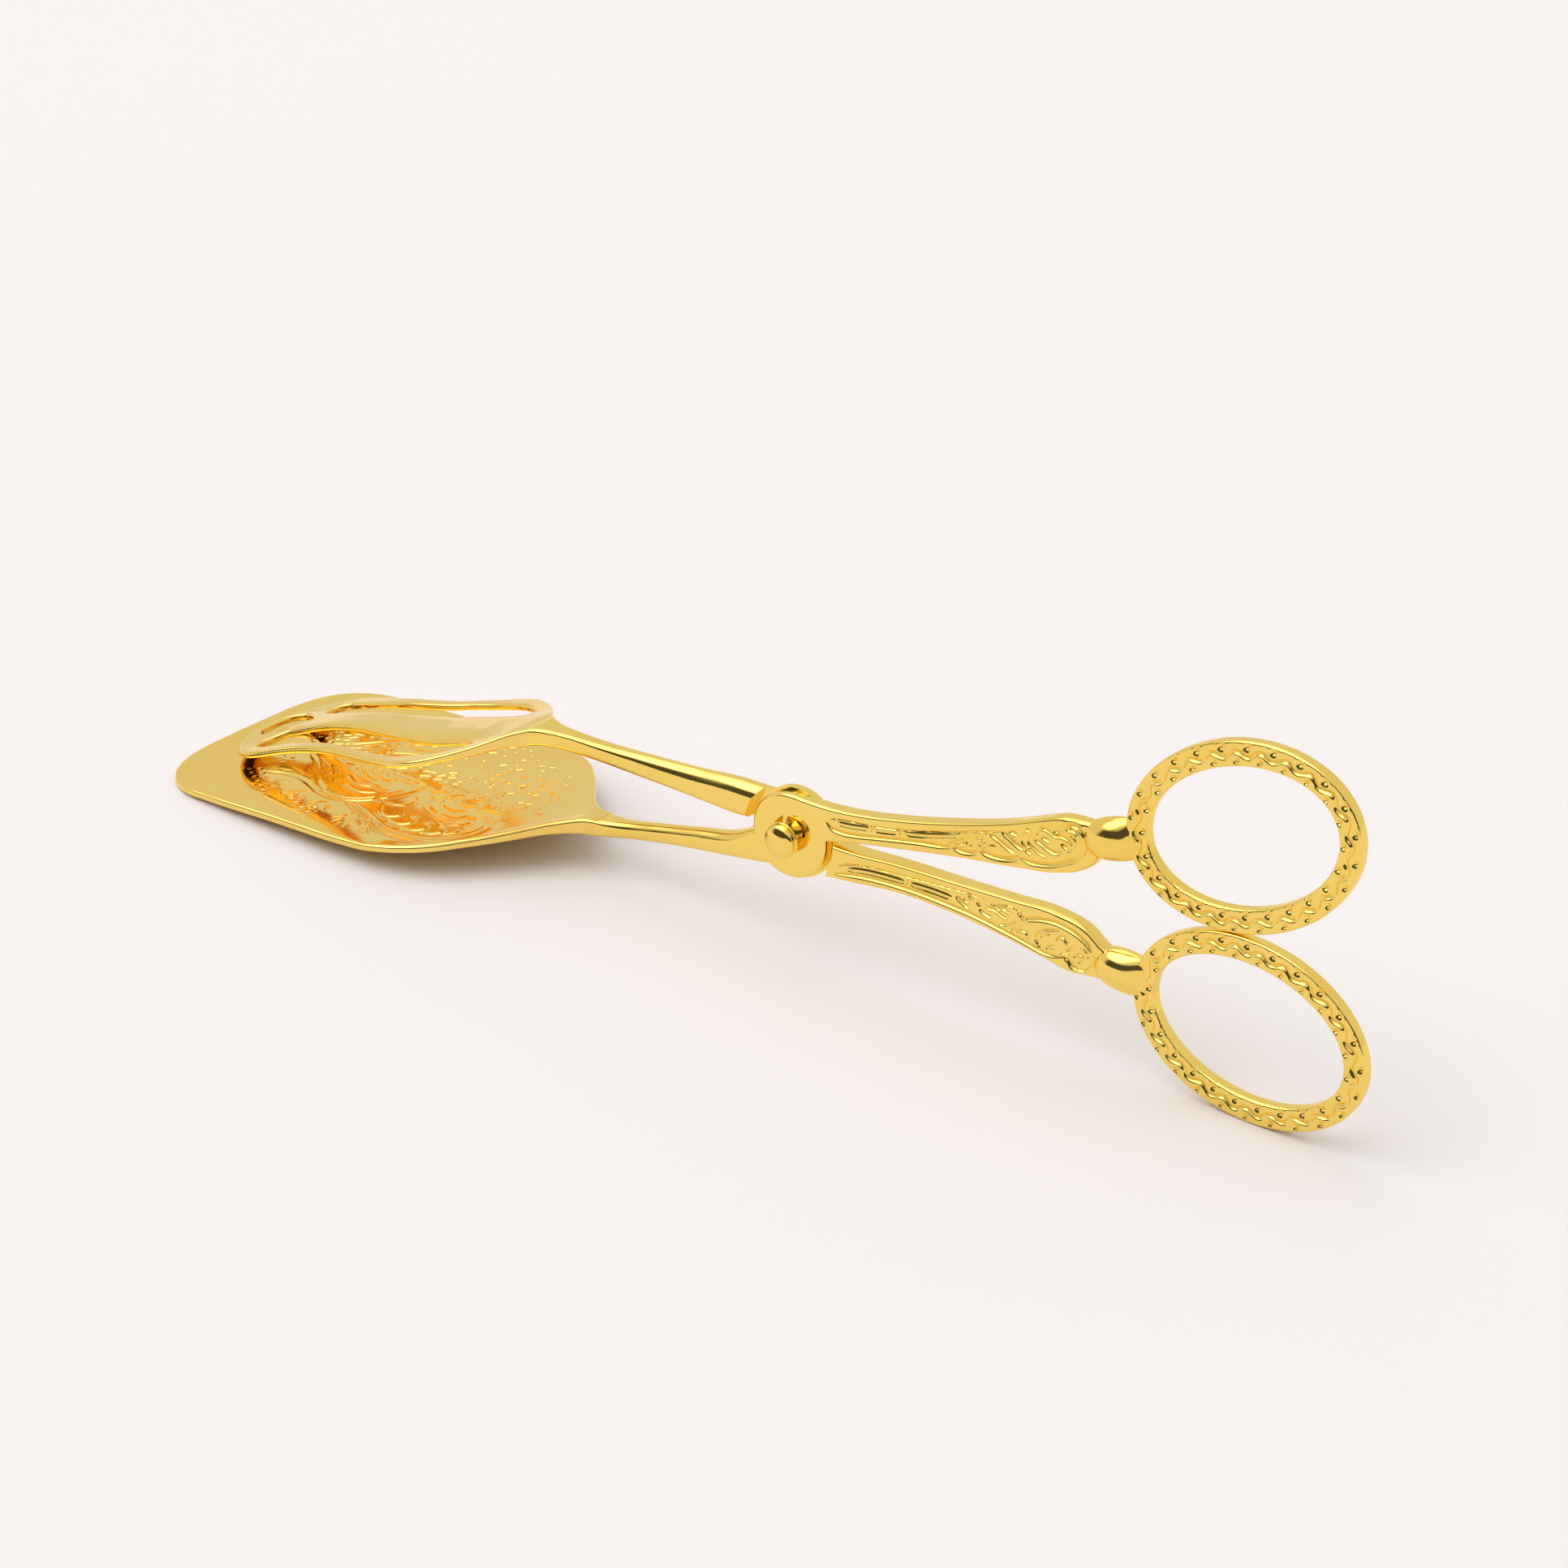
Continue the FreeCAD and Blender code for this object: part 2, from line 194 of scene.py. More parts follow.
TIP_OPENING = [(-99.6, 0), (-101.4, 2.5), (-103.4, 4.3), (-105.6, 5), (-107.2, 3.7), (-107.8, 0)]

# How much wider and deeper the strokes below are cut.
HANDLE_WIDER = 1.25
HANDLE_DEEPER = 1.0
BLADE_WIDER = 1.2
BLADE_DEEPER = 0.7

# Ornament of the upper handle: along from the pivot, and across, turned by ORNAMENT_ANGLE.
# Each stroke is its half width, its depth, and the points it runs through.
UPPER_ORNAMENT_ANGLE = 16.2
UPPER_ORNAMENT = [
    (0.34, 0.26, (7.9, 2.5), (8.5, 1.6), (10, 0.95), (12.5, 0.55), (16, 0.35), (20, 0.1), (24, -0.2),
        (27, -0.55), (29.2, -0.75)),
    (0.36, 0.26, (29.9, -0.75), (30.8, -1.2), (32.4, -1.45), (33.9, -1.25)),
    (0.4, 0.28, (34.6, -1.15), (35.6, -1.6), (37.4, -2.05), (39.4, -2.1), (40.9, -1.85)),
    (0.34, 0.26, (41.3, -1.95), (42.4, -2.45), (44.4, -2.75), (46.8, -2.7), (48.8, -2.25), (50.8, -1.7),
        (52.1, -0.6), (52.6, 0.8), (52.4, 2.2), (51.5, 3.1), (50.3, 3.2), (49.2, 2.75), (48.3, 2.25),
        (47.4, 2.25)),
    (0.15, 0.12, (8.6, 3.1), (11.5, 2.85), (15, 2.25), (18.5, 1.85), (22, 1.65), (27, 1.6), (31, 1.6),
        (34, 1.85), (37, 1.95), (39, 2.05)),
    (0.22, -0.1, (9.9, 2.45), (12.5, 2.05), (15.3, 1.78)),
    (0.17, 0.2, (15.85, 2.15), (15.85, 1.35)),
    (0.22, -0.1, (16.4, 1.7), (18.3, 1.52), (20.3, 1.4)),
    (0.17, 0.2, (20.85, 1.8), (20.85, 1)),
    (0.22, -0.1, (21.7, 1.28), (25, 1.1), (28.5, 1.1), (31.3, 1.25)),
    (0.14, 0.15, (28.8, -0.25), (30.2, 0.25), (31.9, 0.75)),
    (0.16, 0.18, (31.9, 0.75), (31.75, 0.2), (31.8, -0.35)),
    (0.14, 0.14, (31.8, -0.35), (30.8, -0.25), (29.9, -0.35)),
    (0.16, 0.14, (32.9, -0.35), (32.35, 0), (32.35, 0.9), (33.1, 1.55), (34.4, 1.8), (36.2, 1.6)),
    (0.15, 0.13, (32.9, -0.35), (33.35, -0.1), (33.45, 0.4), (33.9, 0.8), (35.4, 0.85)),
    (0.14, 0.12, (35.6, 0.2), (34.7, 0.3), (34.4, -0.1), (34.9, -0.45), (36, -0.15), (37.4, -0.2)),
    (0.3, 0.26, (36.7, 1.5), (37.6, 0.9), (38.6, 0.05), (39.6, -0.75), (40.2, -1.1)),
    (0.34, 0.28, (38.9, 1.9), (39.8, 1.1), (40.9, 0.05), (41.8, -0.6)),
    (0.3, 0.26, (40.2, 2), (40.9, 1.7), (41.3, 1.5)),
    (0.15, 0.14, (42.9, 2.4), (42.2, 1.6), (41.9, 0.7), (42.3, 0), (43.2, -0.3)),
    (0.28, 0.26, (42.3, -0.6), (42.7, -0.95), (43.1, -1.2)),
    (0.26, 0.26, (42.9, 2.3), (43.3, 2.35), (43.6, 2.15)),
    (0.2, 0.2, (43.7, 2), (43.1, 1.2), (43.1, 0.4), (43.9, -0.5), (44.8, -1.2), (45.6, -1.55)),
    (0.28, 0.26, (44.2, 1), (45.2, 0.3), (46.2, -0.5), (47.2, -0.95), (48.4, -0.8)),
    (0.24, 0.22, (44.8, 1.8), (45.2, 2.5), (46.2, 2.6), (47, 2.1), (47.8, 1.55), (48.9, 1.5), (49.8, 1),
        (50.3, 0.4)),
    (0.28, 0.26, (45.5, 1.3), (46.1, 1.05), (46.6, 0.75)),
    (0.28, 0.26, (48.7, 0.7), (48.9, 0.2), (49.4, -0.2)),
    (0.26, 0.26, (50, 2.5), (50.7, 2.5), (51.3, 2.1), (51.6, 1.5)),
    (0.14, 0.14, (50.2, 1.8), (50.9, 1.2), (51, 0.4), (50.4, -0.3), (49.2, -0.8)),
]

# Ornament of the lower handle, in the same terms.
LOWER_ORNAMENT_ANGLE = 0.0
LOWER_ORNAMENT = [
    (0.34, 0.26, (8.9, -3.25), (10.5, -2.9), (13, -2.4), (17, -1.95), (22, -1.7), (28, -1.8), (33, -2.1),
        (38, -2.75), (42, -3.35), (45, -3.85), (46.6, -3.8), (48.2, -3.35)),
    (0.42, 0.3, (48.4, -3.3), (49.1, -3.6), (49.6, -4.2), (50.6, -4.6)),
    (0.22, 0.2, (50.6, -4.6), (51.9, -4.3), (53, -3.2), (53.2, -2.1), (52.8, -1.1)),
    (0.34, 0.27, (52.6, -0.9), (51.9, -0.1), (50.3, 0.75), (48.3, 1.3), (46.3, 1.5), (44.2, 1.2),
        (42.2, 0.6), (41.2, 0.25)),
    (0.15, 0.13, (8.5, -3), (8.8, -2.2), (10.2, -1.35), (13, -0.6), (17, -0.1), (21, 0.2), (25.5, 0.6),
        (30, 0.95), (32.9, 1.15), (34.4, 0.85), (35.6, 0.65), (37, 1.1), (38.8, 1.5), (40.6, 1.3)),
    (0.24, -0.1, (11, -1.8), (13.5, -1.25), (17, -0.85), (20.7, -0.62)),
    (0.2, 0.22, (21.25, -0.1), (21.25, -1.05)),
    (0.24, -0.1, (22, -0.55), (25.5, -0.35), (29, -0.4)),
    (0.3, 0.26, (29.8, 0.1), (30.7, -0.5), (31.9, -1.1)),
    (0.3, 0.26, (31.9, 0.95), (32.3, 0.7), (32.35, 0.2)),
    (0.14, 0.14, (31, 0.55), (31.1, 0), (31.8, -0.3), (32.3, 0.1)),
    (0.26, 0.24, (33.3, 0.35), (33.8, -0.1), (34.1, -0.8), (34.9, -1.2), (36, -1.3)),
    (0.22, 0.2, (35, -0.15), (36.2, 0), (37.4, -0.4), (38.4, -0.7)),
    (0.22, 0.2, (36.8, 0.35), (38, 0.65), (38.9, 0.35)),
    (0.3, 0.26, (40.3, 0.95), (40.8, 0.8), (40.95, 0.35)),
    (0.18, 0.18, (40.9, 0.3), (40.4, -0.4), (39.4, -1.1), (38.3, -1.7), (37.4, -2)),
    (0.16, 0.15, (42, 0.3), (41.4, -0.5), (40.5, -1.3), (39.6, -1.9), (38.9, -2.3)),
    (0.22, 0.22, (40, -2.4), (41, -1.7), (41.8, -1.7), (42.2, -2.4), (41.9, -3)),
    (0.26, 0.24, (43.4, -2.2), (43.9, -2.6), (44.2, -3.3)),
    (0.18, 0.18, (43.4, -2.1), (43.5, -1.2), (44.5, -0.4), (46, 0.2), (47.2, 0.5)),
    (0.17, 0.16, (44.3, -1.5), (45, -0.9), (46, -0.4)),
    (0.24, 0.22, (45.4, -2.9), (46, -2.5), (46.8, -2.3)),
    (0.26, 0.24, (46.9, -1), (47.7, -0.4), (48.4, -0.7), (48.6, -1.2)),
    (0.22, 0.2, (48.7, -2.1), (49.4, -1.7), (50.1, -1)),
    (0.2, 0.2, (49.9, -2.8), (50.5, -2.3), (51.3, -2.2), (51.4, -2.9), (50.7, -3.4)),
    (0.15, 0.14, (47.6, -2.9), (48.4, -2.8), (49.2, -3), (49.6, -3.6)),
    (0.15, 0.14, (50.9, -0.9), (51.9, -1.3), (52.3, -2.2)),
]

# Ornament of the blade's near half, mirrored onto its far half: half width, depth, points.
BLADE_STEMS = [
    (0.45, 0.2, (-98.5, -12.2), (-95, -10.9), (-91, -10.7), (-87.5, -11.9), (-84.5, -13.2), (-81, -13.5),
        (-77.5, -12.3), (-74.5, -9.3), (-72.5, -5.5), (-71.2, -1.5)),
    (0.3, 0.14, (-86, -12), (-83, -12.6), (-80, -12.4), (-77.2, -10.8), (-75.2, -8), (-73.8, -4.6)),
    (0.5, 0.22, (-79, -13), (-75, -14.6), (-71, -16.4), (-67, -18.2), (-62, -19), (-57, -18.2),
        (-53.2, -16), (-51.2, -12.6), (-51, -9), (-52.4, -6.2), (-54.8, -4.4), (-57.6, -4.2)),
    (0.3, 0.15, (-76, -13.2), (-72, -14.8), (-68, -16.7), (-63, -17.7), (-58, -17.1), (-54.6, -15),
        (-52.8, -12), (-52.6, -9.2), (-53.8, -7.2), (-55.8, -6.2)),
    (0.45, 0.2, (-96.5, -2.4), (-93.2, -4.6), (-90.4, -7.4), (-87.4, -10.2), (-84.6, -12)),
    (0.3, 0.15, (-94.4, -2.2), (-91.4, -3.6), (-88.6, -5.8), (-86.2, -8.4)),
]
BLADE_CURLS = [
    (0.34, 0.18, (-86.8, -0.6), (-84.8, -2.4), (-82.4, -4), (-80, -4.6)),
    (0.34, 0.18, (-84, -0.8), (-82, -2.4), (-79.8, -3.4), (-77.8, -3.4)),
    (0.34, 0.18, (-80.6, -0.8), (-79, -2), (-77.2, -2.4)),
    (0.34, 0.18, (-85.4, -5.2), (-83.2, -6.6), (-80.8, -7.2), (-78.6, -6.6)),
    (0.34, 0.18, (-83.6, -8.2), (-81.2, -9.2), (-78.8, -9.2), (-76.8, -8)),
    (0.3, 0.16, (-79.2, -5.6), (-77.4, -6.6), (-75.8, -6.2)),
    (0.38, 0.2, (-68.2, -3.8), (-67.4, -5.8), (-65.6, -7.6), (-63.4, -8.6)),
    (0.34, 0.18, (-66.4, -3.4), (-65.2, -5.2), (-63.2, -6.4), (-61, -6.6), (-59.4, -5.4)),
    (0.34, 0.18, (-64.2, -2.6), (-62.6, -4), (-60.6, -4.2), (-59.2, -3.2), (-59.6, -2)),
    (0.34, 0.18, (-62.2, -8.4), (-60.4, -9), (-58.6, -8.4), (-57.8, -7)),
    (0.4, 0.2, (-60.6, -10.8), (-58.4, -11.4), (-56.4, -10.6), (-55.6, -9), (-56.4, -7.8), (-57.8, -8)),
    (0.36, 0.2, (-72.4, -11.2), (-71.4, -13), (-69.2, -13.8), (-67.6, -12.4), (-68.2, -10.8)),
    (0.36, 0.2, (-68, -14.6), (-66, -15.2), (-64.2, -14), (-64.4, -12.2), (-66, -11.4)),
    (0.36, 0.2, (-64.4, -15.8), (-62.2, -16), (-60.6, -14.6), (-61, -12.8), (-62.4, -12.2)),
    (0.36, 0.2, (-60.4, -15.8), (-58.4, -15.6), (-57.2, -14.2), (-57.8, -12.6), (-59.2, -12.4)),
    (0.34, 0.18, (-56.8, -14.8), (-55.2, -13.8), (-54.8, -12.2), (-55.8, -11.4)),
    (0.3, 0.16, (-73.4, -9.6), (-71.2, -9.8), (-69.4, -8.6), (-69.2, -6.8), (-70.4, -5.6)),
]
# Sprays of short curved cuts: where they spring from, heading, spread, length, count.
BLADE_SPRAYS = [
    ((-74.6, -14.9), -62, 70, 5.6, 8), ((-70.6, -17), -35, 50, 4.4, 6),
    ((-91.6, -11.6), -105, 60, 3.6, 6), ((-86.4, -13.2), -100, 60, 4.2, 6),
    ((-81.4, -14.4), -80, 56, 4.4, 6), ((-90.6, -7.2), 62, 60, 3.8, 6),
    ((-76.4, -10.4), 40, 60, 3.4, 5), ((-66.6, -1.4), 92, 90, 4.4, 8),
]
SMALL_STROKE = (0.24, 0.13)
# Punched dots fill bands beside the stems: start, end, rows, spacing.
BLADE_DOTS = [
    ((-101, -12.4), (-90.4, -19), 2, 2),
    ((-89, -16.6), (-77.4, -21), 2, 2.2),
    ((-100.6, -4), (-97, -9.4), 2, 1.9),
    ((-57.4, -1.3), (-52.6, -2.4), 2, 1.5),
]
DOT_CUT = (0.5, 0.11)
# Loose short cuts fill an oval field of the ground: its centre, half length and half width.
FLECK_CUT = (0.44, 0.14)
FLECK_FIELD = (-74.0, 28.0, 19.5)
FLECK_PITCH = (1.9, 1.7)
FLECK_SHARE = 0.62

# The blade's edges curl up by RIM_RISE toward its seam.  CURL_WIDTH is how far in that reaches.
RIM_RISE = 0.5
CURL_WIDTH = 2.2

# The openwork jaw is crowned along its middle, and its near edge has a row of fine teeth.
JAW_CROWN = 0.8
JAW_CROWN_WIDTH = 5.2
TEETH_DEPTH = 0.07
TEETH_PITCH = 0.85


def curve_through(points, x):
    """Values of a table at x: its first column is the key, and a smooth curve joins the rows."""
    table = np.array(points, float)
    keys = table[:, 0]
    values = table[:, 1:]
    slopes = np.gradient(values, keys, axis=0)
    x = np.asarray(x, float)
    i = np.clip(np.searchsorted(keys, x) - 1, 0, len(keys) - 2)
    span = (keys[i + 1] - keys[i])[..., None]
    t = np.clip((x - keys[i])[..., None] / span, 0, 1)
    a = (1 + 2 * t) * (1 - t) ** 2 * values[i]
    b = t * (1 - t) ** 2 * span * slopes[i]
    c = t * t * (3 - 2 * t) * values[i + 1]
    d = t * t * (t - 1) * span * slopes[i + 1]
    return a + b + c + d


def lengths_along(points):
    """Length of a path up to each of its points."""
    return np.r_[0, np.cumsum(np.linalg.norm(np.diff(points, axis=0), axis=1))]


def unit(vectors):
    """Each vector, one long."""
    return vectors / np.linalg.norm(vectors, axis=-1, keepdims=True)


def turned(x, z, angle):
    """x and z after a turn about Y."""
    return x * math.cos(angle) - z * math.sin(angle), x * math.sin(angle) + z * math.cos(angle)


def path_through(points, step, closed=False):
    """Evenly stepped points on a smooth curve through a few."""
    points = np.array(points, float)
    if closed:
        points = np.vstack([points[-3:], points, points[:4]])
    if len(points) == 2:
        count = max(2, int(np.linalg.norm(points[1] - points[0]) / step) + 1)
        return points[0] + (points[1] - points[0]) * np.linspace(0, 1, count)[:, None]
    length = lengths_along(points)
    table = np.column_stack([length, points])
    first, last = length[0], length[-1]
    if closed:
        first, last = length[3], length[-4]
    fine = curve_through(table, np.linspace(first, last, 40 * len(points)))
    run = lengths_along(fine)
    count = max(3, int(round(run[-1] / step)) + 1)
    even = np.linspace(0, run[-1], count)
    if closed:
        even = even[:-1]
    return np.column_stack([np.interp(even, run, fine[:, k]) for k in (0, 1)])


def laid(x, y, z):
    """Points given from the layout point, in the frame of the part."""
    x = LAYOUT_X + np.asarray(x, float)
    z = LAYOUT_Z + np.asarray(z, float)
    return np.stack(np.broadcast_arrays(x, y, z), -1)


def groove(distance, half_width, depth, cord=False):
    """Height across a stroke: a rounded cut with slight lips, or a raised cord between two cuts."""
    middle = np.exp(-(distance / (0.62 * half_width)) ** 2)
    sides = np.exp(-((distance - 1.35 * half_width) / (0.45 * half_width)) ** 2)
    if cord:
        return depth * (middle - 0.65 * sides)
    return depth * (0.22 * sides - middle)


def engrave(places, strokes, wider=1.0, deeper=1.0):
    """Height of an engraved surface at 2-D places.  A stroke of negative depth is a raised cord."""
    cut = np.zeros(len(places))
    lip = np.zeros(len(places))
    for half_width, depth, *points in strokes:
        cord = depth < 0
        half_width = half_width * wider
        depth = abs(depth) * deeper
        path = path_through(points, 0.22)
        reach = 2.4 * half_width
        near = np.nonzero(((places > path.min(0) - reach) & (places < path.max(0) + reach)).all(1))[0]
        if not len(near):
            continue
        start = path[:-1]
        along = path[1:] - start
        gap = places[near][:, None, :] - start[None]
        t = np.clip((gap * along).sum(2) / (along * along).sum(1), 0, 1)
        away = np.linalg.norm(gap - t[..., None] * along, axis=2)
        pick = away.argmin(1)
        rows = np.arange(len(near))
        share = (pick + t[rows, pick]) / len(along)
        size = 0.55 + 0.45 * np.clip(4 * np.sin(np.pi * share), 0, 1)
        value = groove(away[rows, pick] / size, half_width, depth * size, cord)
        cut[near] = np.minimum(cut[near], value)
        lip[near] = np.maximum(lip[near], value)
    return cut + lip * np.clip(1 + cut / 0.04, 0, 1)


def punch(places, centres):
    """Height of a surface with round punch marks."""
    height = np.zeros(len(places))
    for centre in centres:
        near = np.nonzero((np.abs(places - centre) < 2 * DOT_CUT[0]).all(1))[0]
        away = np.linalg.norm(places[near] - centre, axis=1)
        height[near] += groove(away, *DOT_CUT)
    return height


def wobble(points, scale, seed):
    """A smooth, repeatable unevenness between -1 and 1 at 3-D points."""
    random = np.random.default_rng(seed)
    total = np.zeros(points.shape[:-1])
    for _ in range(7):
        direction = random.normal(size=3)
        total += np.sin(points @ direction / scale + random.uniform(0, 6.28))
    return total / 7


def add_mesh(name, points, faces):
    """A mesh object from points in millimetres, with its faces turned outward."""
    mesh = bpy.data.meshes.new(name)
    mesh.from_pydata((np.asarray(points) * MM).tolist(), [], faces)
    shell = bmesh.new()
    shell.from_mesh(mesh)
    bmesh.ops.recalc_face_normals(shell, faces=shell.faces)
    shell.to_mesh(mesh)
    shell.free()
    piece = bpy.data.objects.new(name, mesh)
    bpy.context.scene.collection.objects.link(piece)
    return piece


def grid_faces(rows, columns, wrap_rows=False):
    """Quads over a grid of points numbered row by row, each row closed on itself."""
    faces = []
    for r in range(rows if wrap_rows else rows - 1):
        above = r * columns
        below = ((r + 1) % rows) * columns
        for c in range(columns):
            d = (c + 1) % columns
            faces.append((above + c, above + d, below + d, below + c))
    return faces


def fan(first, count, centre):
    """Triangles from a ring of consecutive point numbers to a centre."""
    return [(first + i, first + (i + 1) % count, centre) for i in range(count)]


def tube_faces(rows, columns):
    """Faces of a closed tube: a grid, and fans to its two end points, which are numbered last."""
    last = rows * columns
    ends = fan(0, columns, last) + fan(last - columns, columns, last + 1)
    return grid_faces(rows, columns) + ends


def section_samples(front, back, side, corner):
    """Places round a rounded rectangle: flat share across and up, and round share across and up."""
    corners = [(-1, 1, 90, front), (-1, -1, 180, side), (1, -1, 270, back), (1, 1, 0, side)]
    samples = []
    for (across, up, start, count), after in zip(corners, corners[1:] + corners[:1]):
        for k in range(corner + 1):
            angle = math.radians(start + 90 * k / corner)
            samples.append((across, up, math.cos(angle), math.sin(angle)))
        to_across = after[0] - across
        to_up = after[1] - up
        for k in range(1, count):
            t = k / count
            samples.append((across + to_across * t, up + to_up * t, across + to_across / 2, up + to_up / 2))
    return np.array(samples)


def add_bar(name, stations, step, samples, relief=None, unevenness=0.0, flute=None, shift=None):
    """A tapering bar through rounded sections.  relief(places) is the height of its faces,
    flute(x) is how far its upper front edge is rounded off downward and backward, and shift(x) is
    the y of its middle."""
    first, last = stations[0][0], stations[-1][0]
    rows = int(round((last - first) / step)) + 1
    x = np.linspace(first, last, rows)
    z, height, depth, radius = curve_through(stations, x).T
    ease = np.clip(np.minimum(x - first, last - x) / 2.0, 0, 1)
    angle = np.arctan(np.gradient(z, x)) * ease
    across = samples[:, 0] * (depth / 2 - radius)[:, None] + samples[:, 2] * radius[:, None]
    up = samples[:, 1] * (height / 2 - radius)[:, None] + samples[:, 3] * radius[:, None]
    if flute is not None:
        down, back = flute(x)
        weight = (1 - samples[:, 0]) * (1 + samples[:, 1]) / 4
        across = across + back[:, None] * weight * (1 + samples[:, 2])
        up = up - down[:, None] * weight * (1 - samples[:, 3])
    if shift is not None:
        across = across + shift(x)[:, None]
    px = x[:, None] - up * np.sin(angle)[:, None]
    pz = z[:, None] + up * np.cos(angle)[:, None]
    if relief is not None:
        for side in (-1, 1):
            columns = np.nonzero(samples[:, 2] == side)[0]
            places = np.column_stack([px[:, columns].ravel(), pz[:, columns].ravel()])
            across[:, columns] += side * relief(places).reshape(rows, len(columns))
    points = laid(px, across, pz)
    if unevenness:
        outward = unit(points - laid(x, 0.0, z)[:, None, :])
        ends = np.clip(np.minimum(x - first, last - x) / 3.0, 0, 1)
        bump = wobble(points, 1.9, 3) * unevenness * ends[:, None]
        points = points + outward * bump[..., None]
    points = np.vstack([points.reshape(-1, 3), laid(x[[0, -1]], 0.0, z[[0, -1]])])
    return add_mesh(name, points, tube_faces(rows, len(samples)))


def add_lathe(name, profile, segments, closed=False):
    """A solid turned about the pivot axis.  profile lists radius and y; it runs from axis to axis
    unless closed."""
    profile = np.array(profile, float)
    turn = np.linspace(0, 2 * np.pi, segments, endpoint=False)
    ring = profile if closed else profile[1:-1]
    x = PIVOT[0] + ring[:, 0, None] * np.cos(turn)
    z = PIVOT[1] + ring[:, 0, None] * np.sin(turn)
    points = laid(x, ring[:, 1, None], z).reshape(-1, 3)
    if closed:
        return add_mesh(name, points, grid_faces(len(ring), segments, wrap_rows=True))
    points = np.vstack([points, laid(PIVOT[0], profile[[0, -1], 1], PIVOT[1])])
    return add_mesh(name, points, tube_faces(len(ring), segments))


def rounded_profile(corners, radius, steps=5):
    """A turned profile whose inner corners are rounded."""
    corners = [np.array(c, float) for c in corners]
    points = [corners[0]]
    for before, corner, after in zip(corners, corners[1:], corners[2:]):
        sides = np.array([before, after]) - corner
        reach = min(radius, 0.45 * np.linalg.norm(sides, axis=1).min())
        start, end = corner + unit(sides) * reach
        for k in range(steps + 1):
            t = k / steps
            points.append((1 - t) ** 2 * start + 2 * t * (1 - t) * corner + t * t * end)
    points.append(corners[-1])
    return points


def add_disc(name, radius, y_from, y_to, edge_from=0.0, edge_to=0.0, segments=128):
    """A disc round the pivot, from y_from up to y_to.  A rounded edge also crowns its flat face."""
    def face(y, sign, edge):
        if not edge:
            return [(0, y), (radius, y)]
        rim = radius - edge
        crown = [(rim * k / 8, y - sign * HUB_CROWN * (1 - (k / 8) ** 2)) for k in range(8)]
        turns = [math.radians(90 * k / 6) for k in range(7)]
        return crown + [(rim + edge * math.sin(t), y + sign * edge * (1 - math.cos(t))) for t in turns]
    return add_lathe(name, face(y_from, 1, edge_from) + face(y_to, -1, edge_to)[::-1], segments)


def add_bead(name, centre, angle):
    """The bead between handle and ring: it swells from the handle and thins into the ring."""
    rows, columns = 48, 72
    turn = np.linspace(0, 2 * np.pi, columns, endpoint=False)
    along = np.linspace(BEAD[0][0], BEAD[-1][0], rows)
    out, deep = curve_through(BEAD, along).T
    x, z = turned(along[:, None], out[:, None] * np.cos(turn), angle)
    points = laid(centre[0] + x, deep[:, None] * np.sin(turn), centre[1] + z).reshape(-1, 3)
    x, z = turned(along[[0, -1]], 0.0, angle)
    points = np.vstack([points, laid(centre[0] + x, 0.0, centre[1] + z)])
    return add_mesh(name, points, tube_faces(rows, columns))


def oval(radii, turn):
    """Points of an oval."""
    return np.column_stack([radii[0] * np.cos(turn), radii[1] * np.sin(turn)])


def add_ring(name, angle, turn):
    """A finger ring with a wavy groove and punched dots on both faces."""
    u = np.linspace(0, 2 * np.pi, 4001)
    run = lengths_along(oval(RING_OUTER, u) + oval(RING_INNER, u)) / 2
    even = np.linspace(0, run[-1], RING_STEPS, endpoint=False)
    u = np.interp(even, run, u)
    phase = even / run[-1] * RING_WAVES
    outer = oval(RING_OUTER, u)
    inner = oval(RING_INNER, u)
    centre = (outer + inner) / 2
    half = np.linalg.norm(outer - inner, axis=1) / 2
    radial = unit(outer - inner)
    samples = section_samples(28, 8, 4, 4)
    # Columns of the section: its front is at -Y, and up is the way out of the ring.
    out = samples[:, 1] * (half - RING_EDGE)[:, None] + samples[:, 3] * RING_EDGE
    deep = samples[:, 0] * (RING_THICKNESS / 2 - RING_EDGE) + samples[:, 2] * RING_EDGE
    deep = np.broadcast_to(deep, out.shape).copy()
    wave = WAVE_HEIGHT * np.sin(2 * np.pi * phase)
    slope = WAVE_HEIGHT * 2 * np.pi * RING_WAVES / run[-1] * np.cos(2 * np.pi * phase)
    across = np.abs(out - wave[:, None]) / np.sqrt(1 + slope[:, None] ** 2)
    relief = groove(across, *WAVE_CUT)
    arc = run[-1] / RING_WAVES
    for shift, side in ((0.25, -1), (0.75, 1)):
        along = (np.mod(phase - shift + 0.5, 1) - 0.5) * arc
        away = np.hypot(along[:, None], out - side * RING_DOT_OUT)
        relief = relief + groove(away, *RING_DOT_CUT)
    face = np.abs(samples[:, 2]) > 0.999
    deep[:, face] += np.sign(samples[face, 2]) * relief[:, face]
    wall = samples[:, 3] < -0.5
    rough = np.sin(even * 5.3)[:, None] * np.sin(even * 2.3 + 1)[:, None]
    out[:, wall] += 0.025 * rough * (1 - np.abs(samples[wall, 2]))
    x = centre[:, 0, None] + radial[:, 0, None] * out
    z = centre[:, 1, None] + radial[:, 1, None] * out
    x, z = turned(x, z, angle + turn)
    middle_x, middle_z = turned(RING_DISTANCE, 0.0, angle)
    points = laid(middle_x + x, deep, middle_z + z).reshape(-1, 3)
    return add_mesh(name, points, grid_faces(RING_STEPS, len(samples), wrap_rows=True))


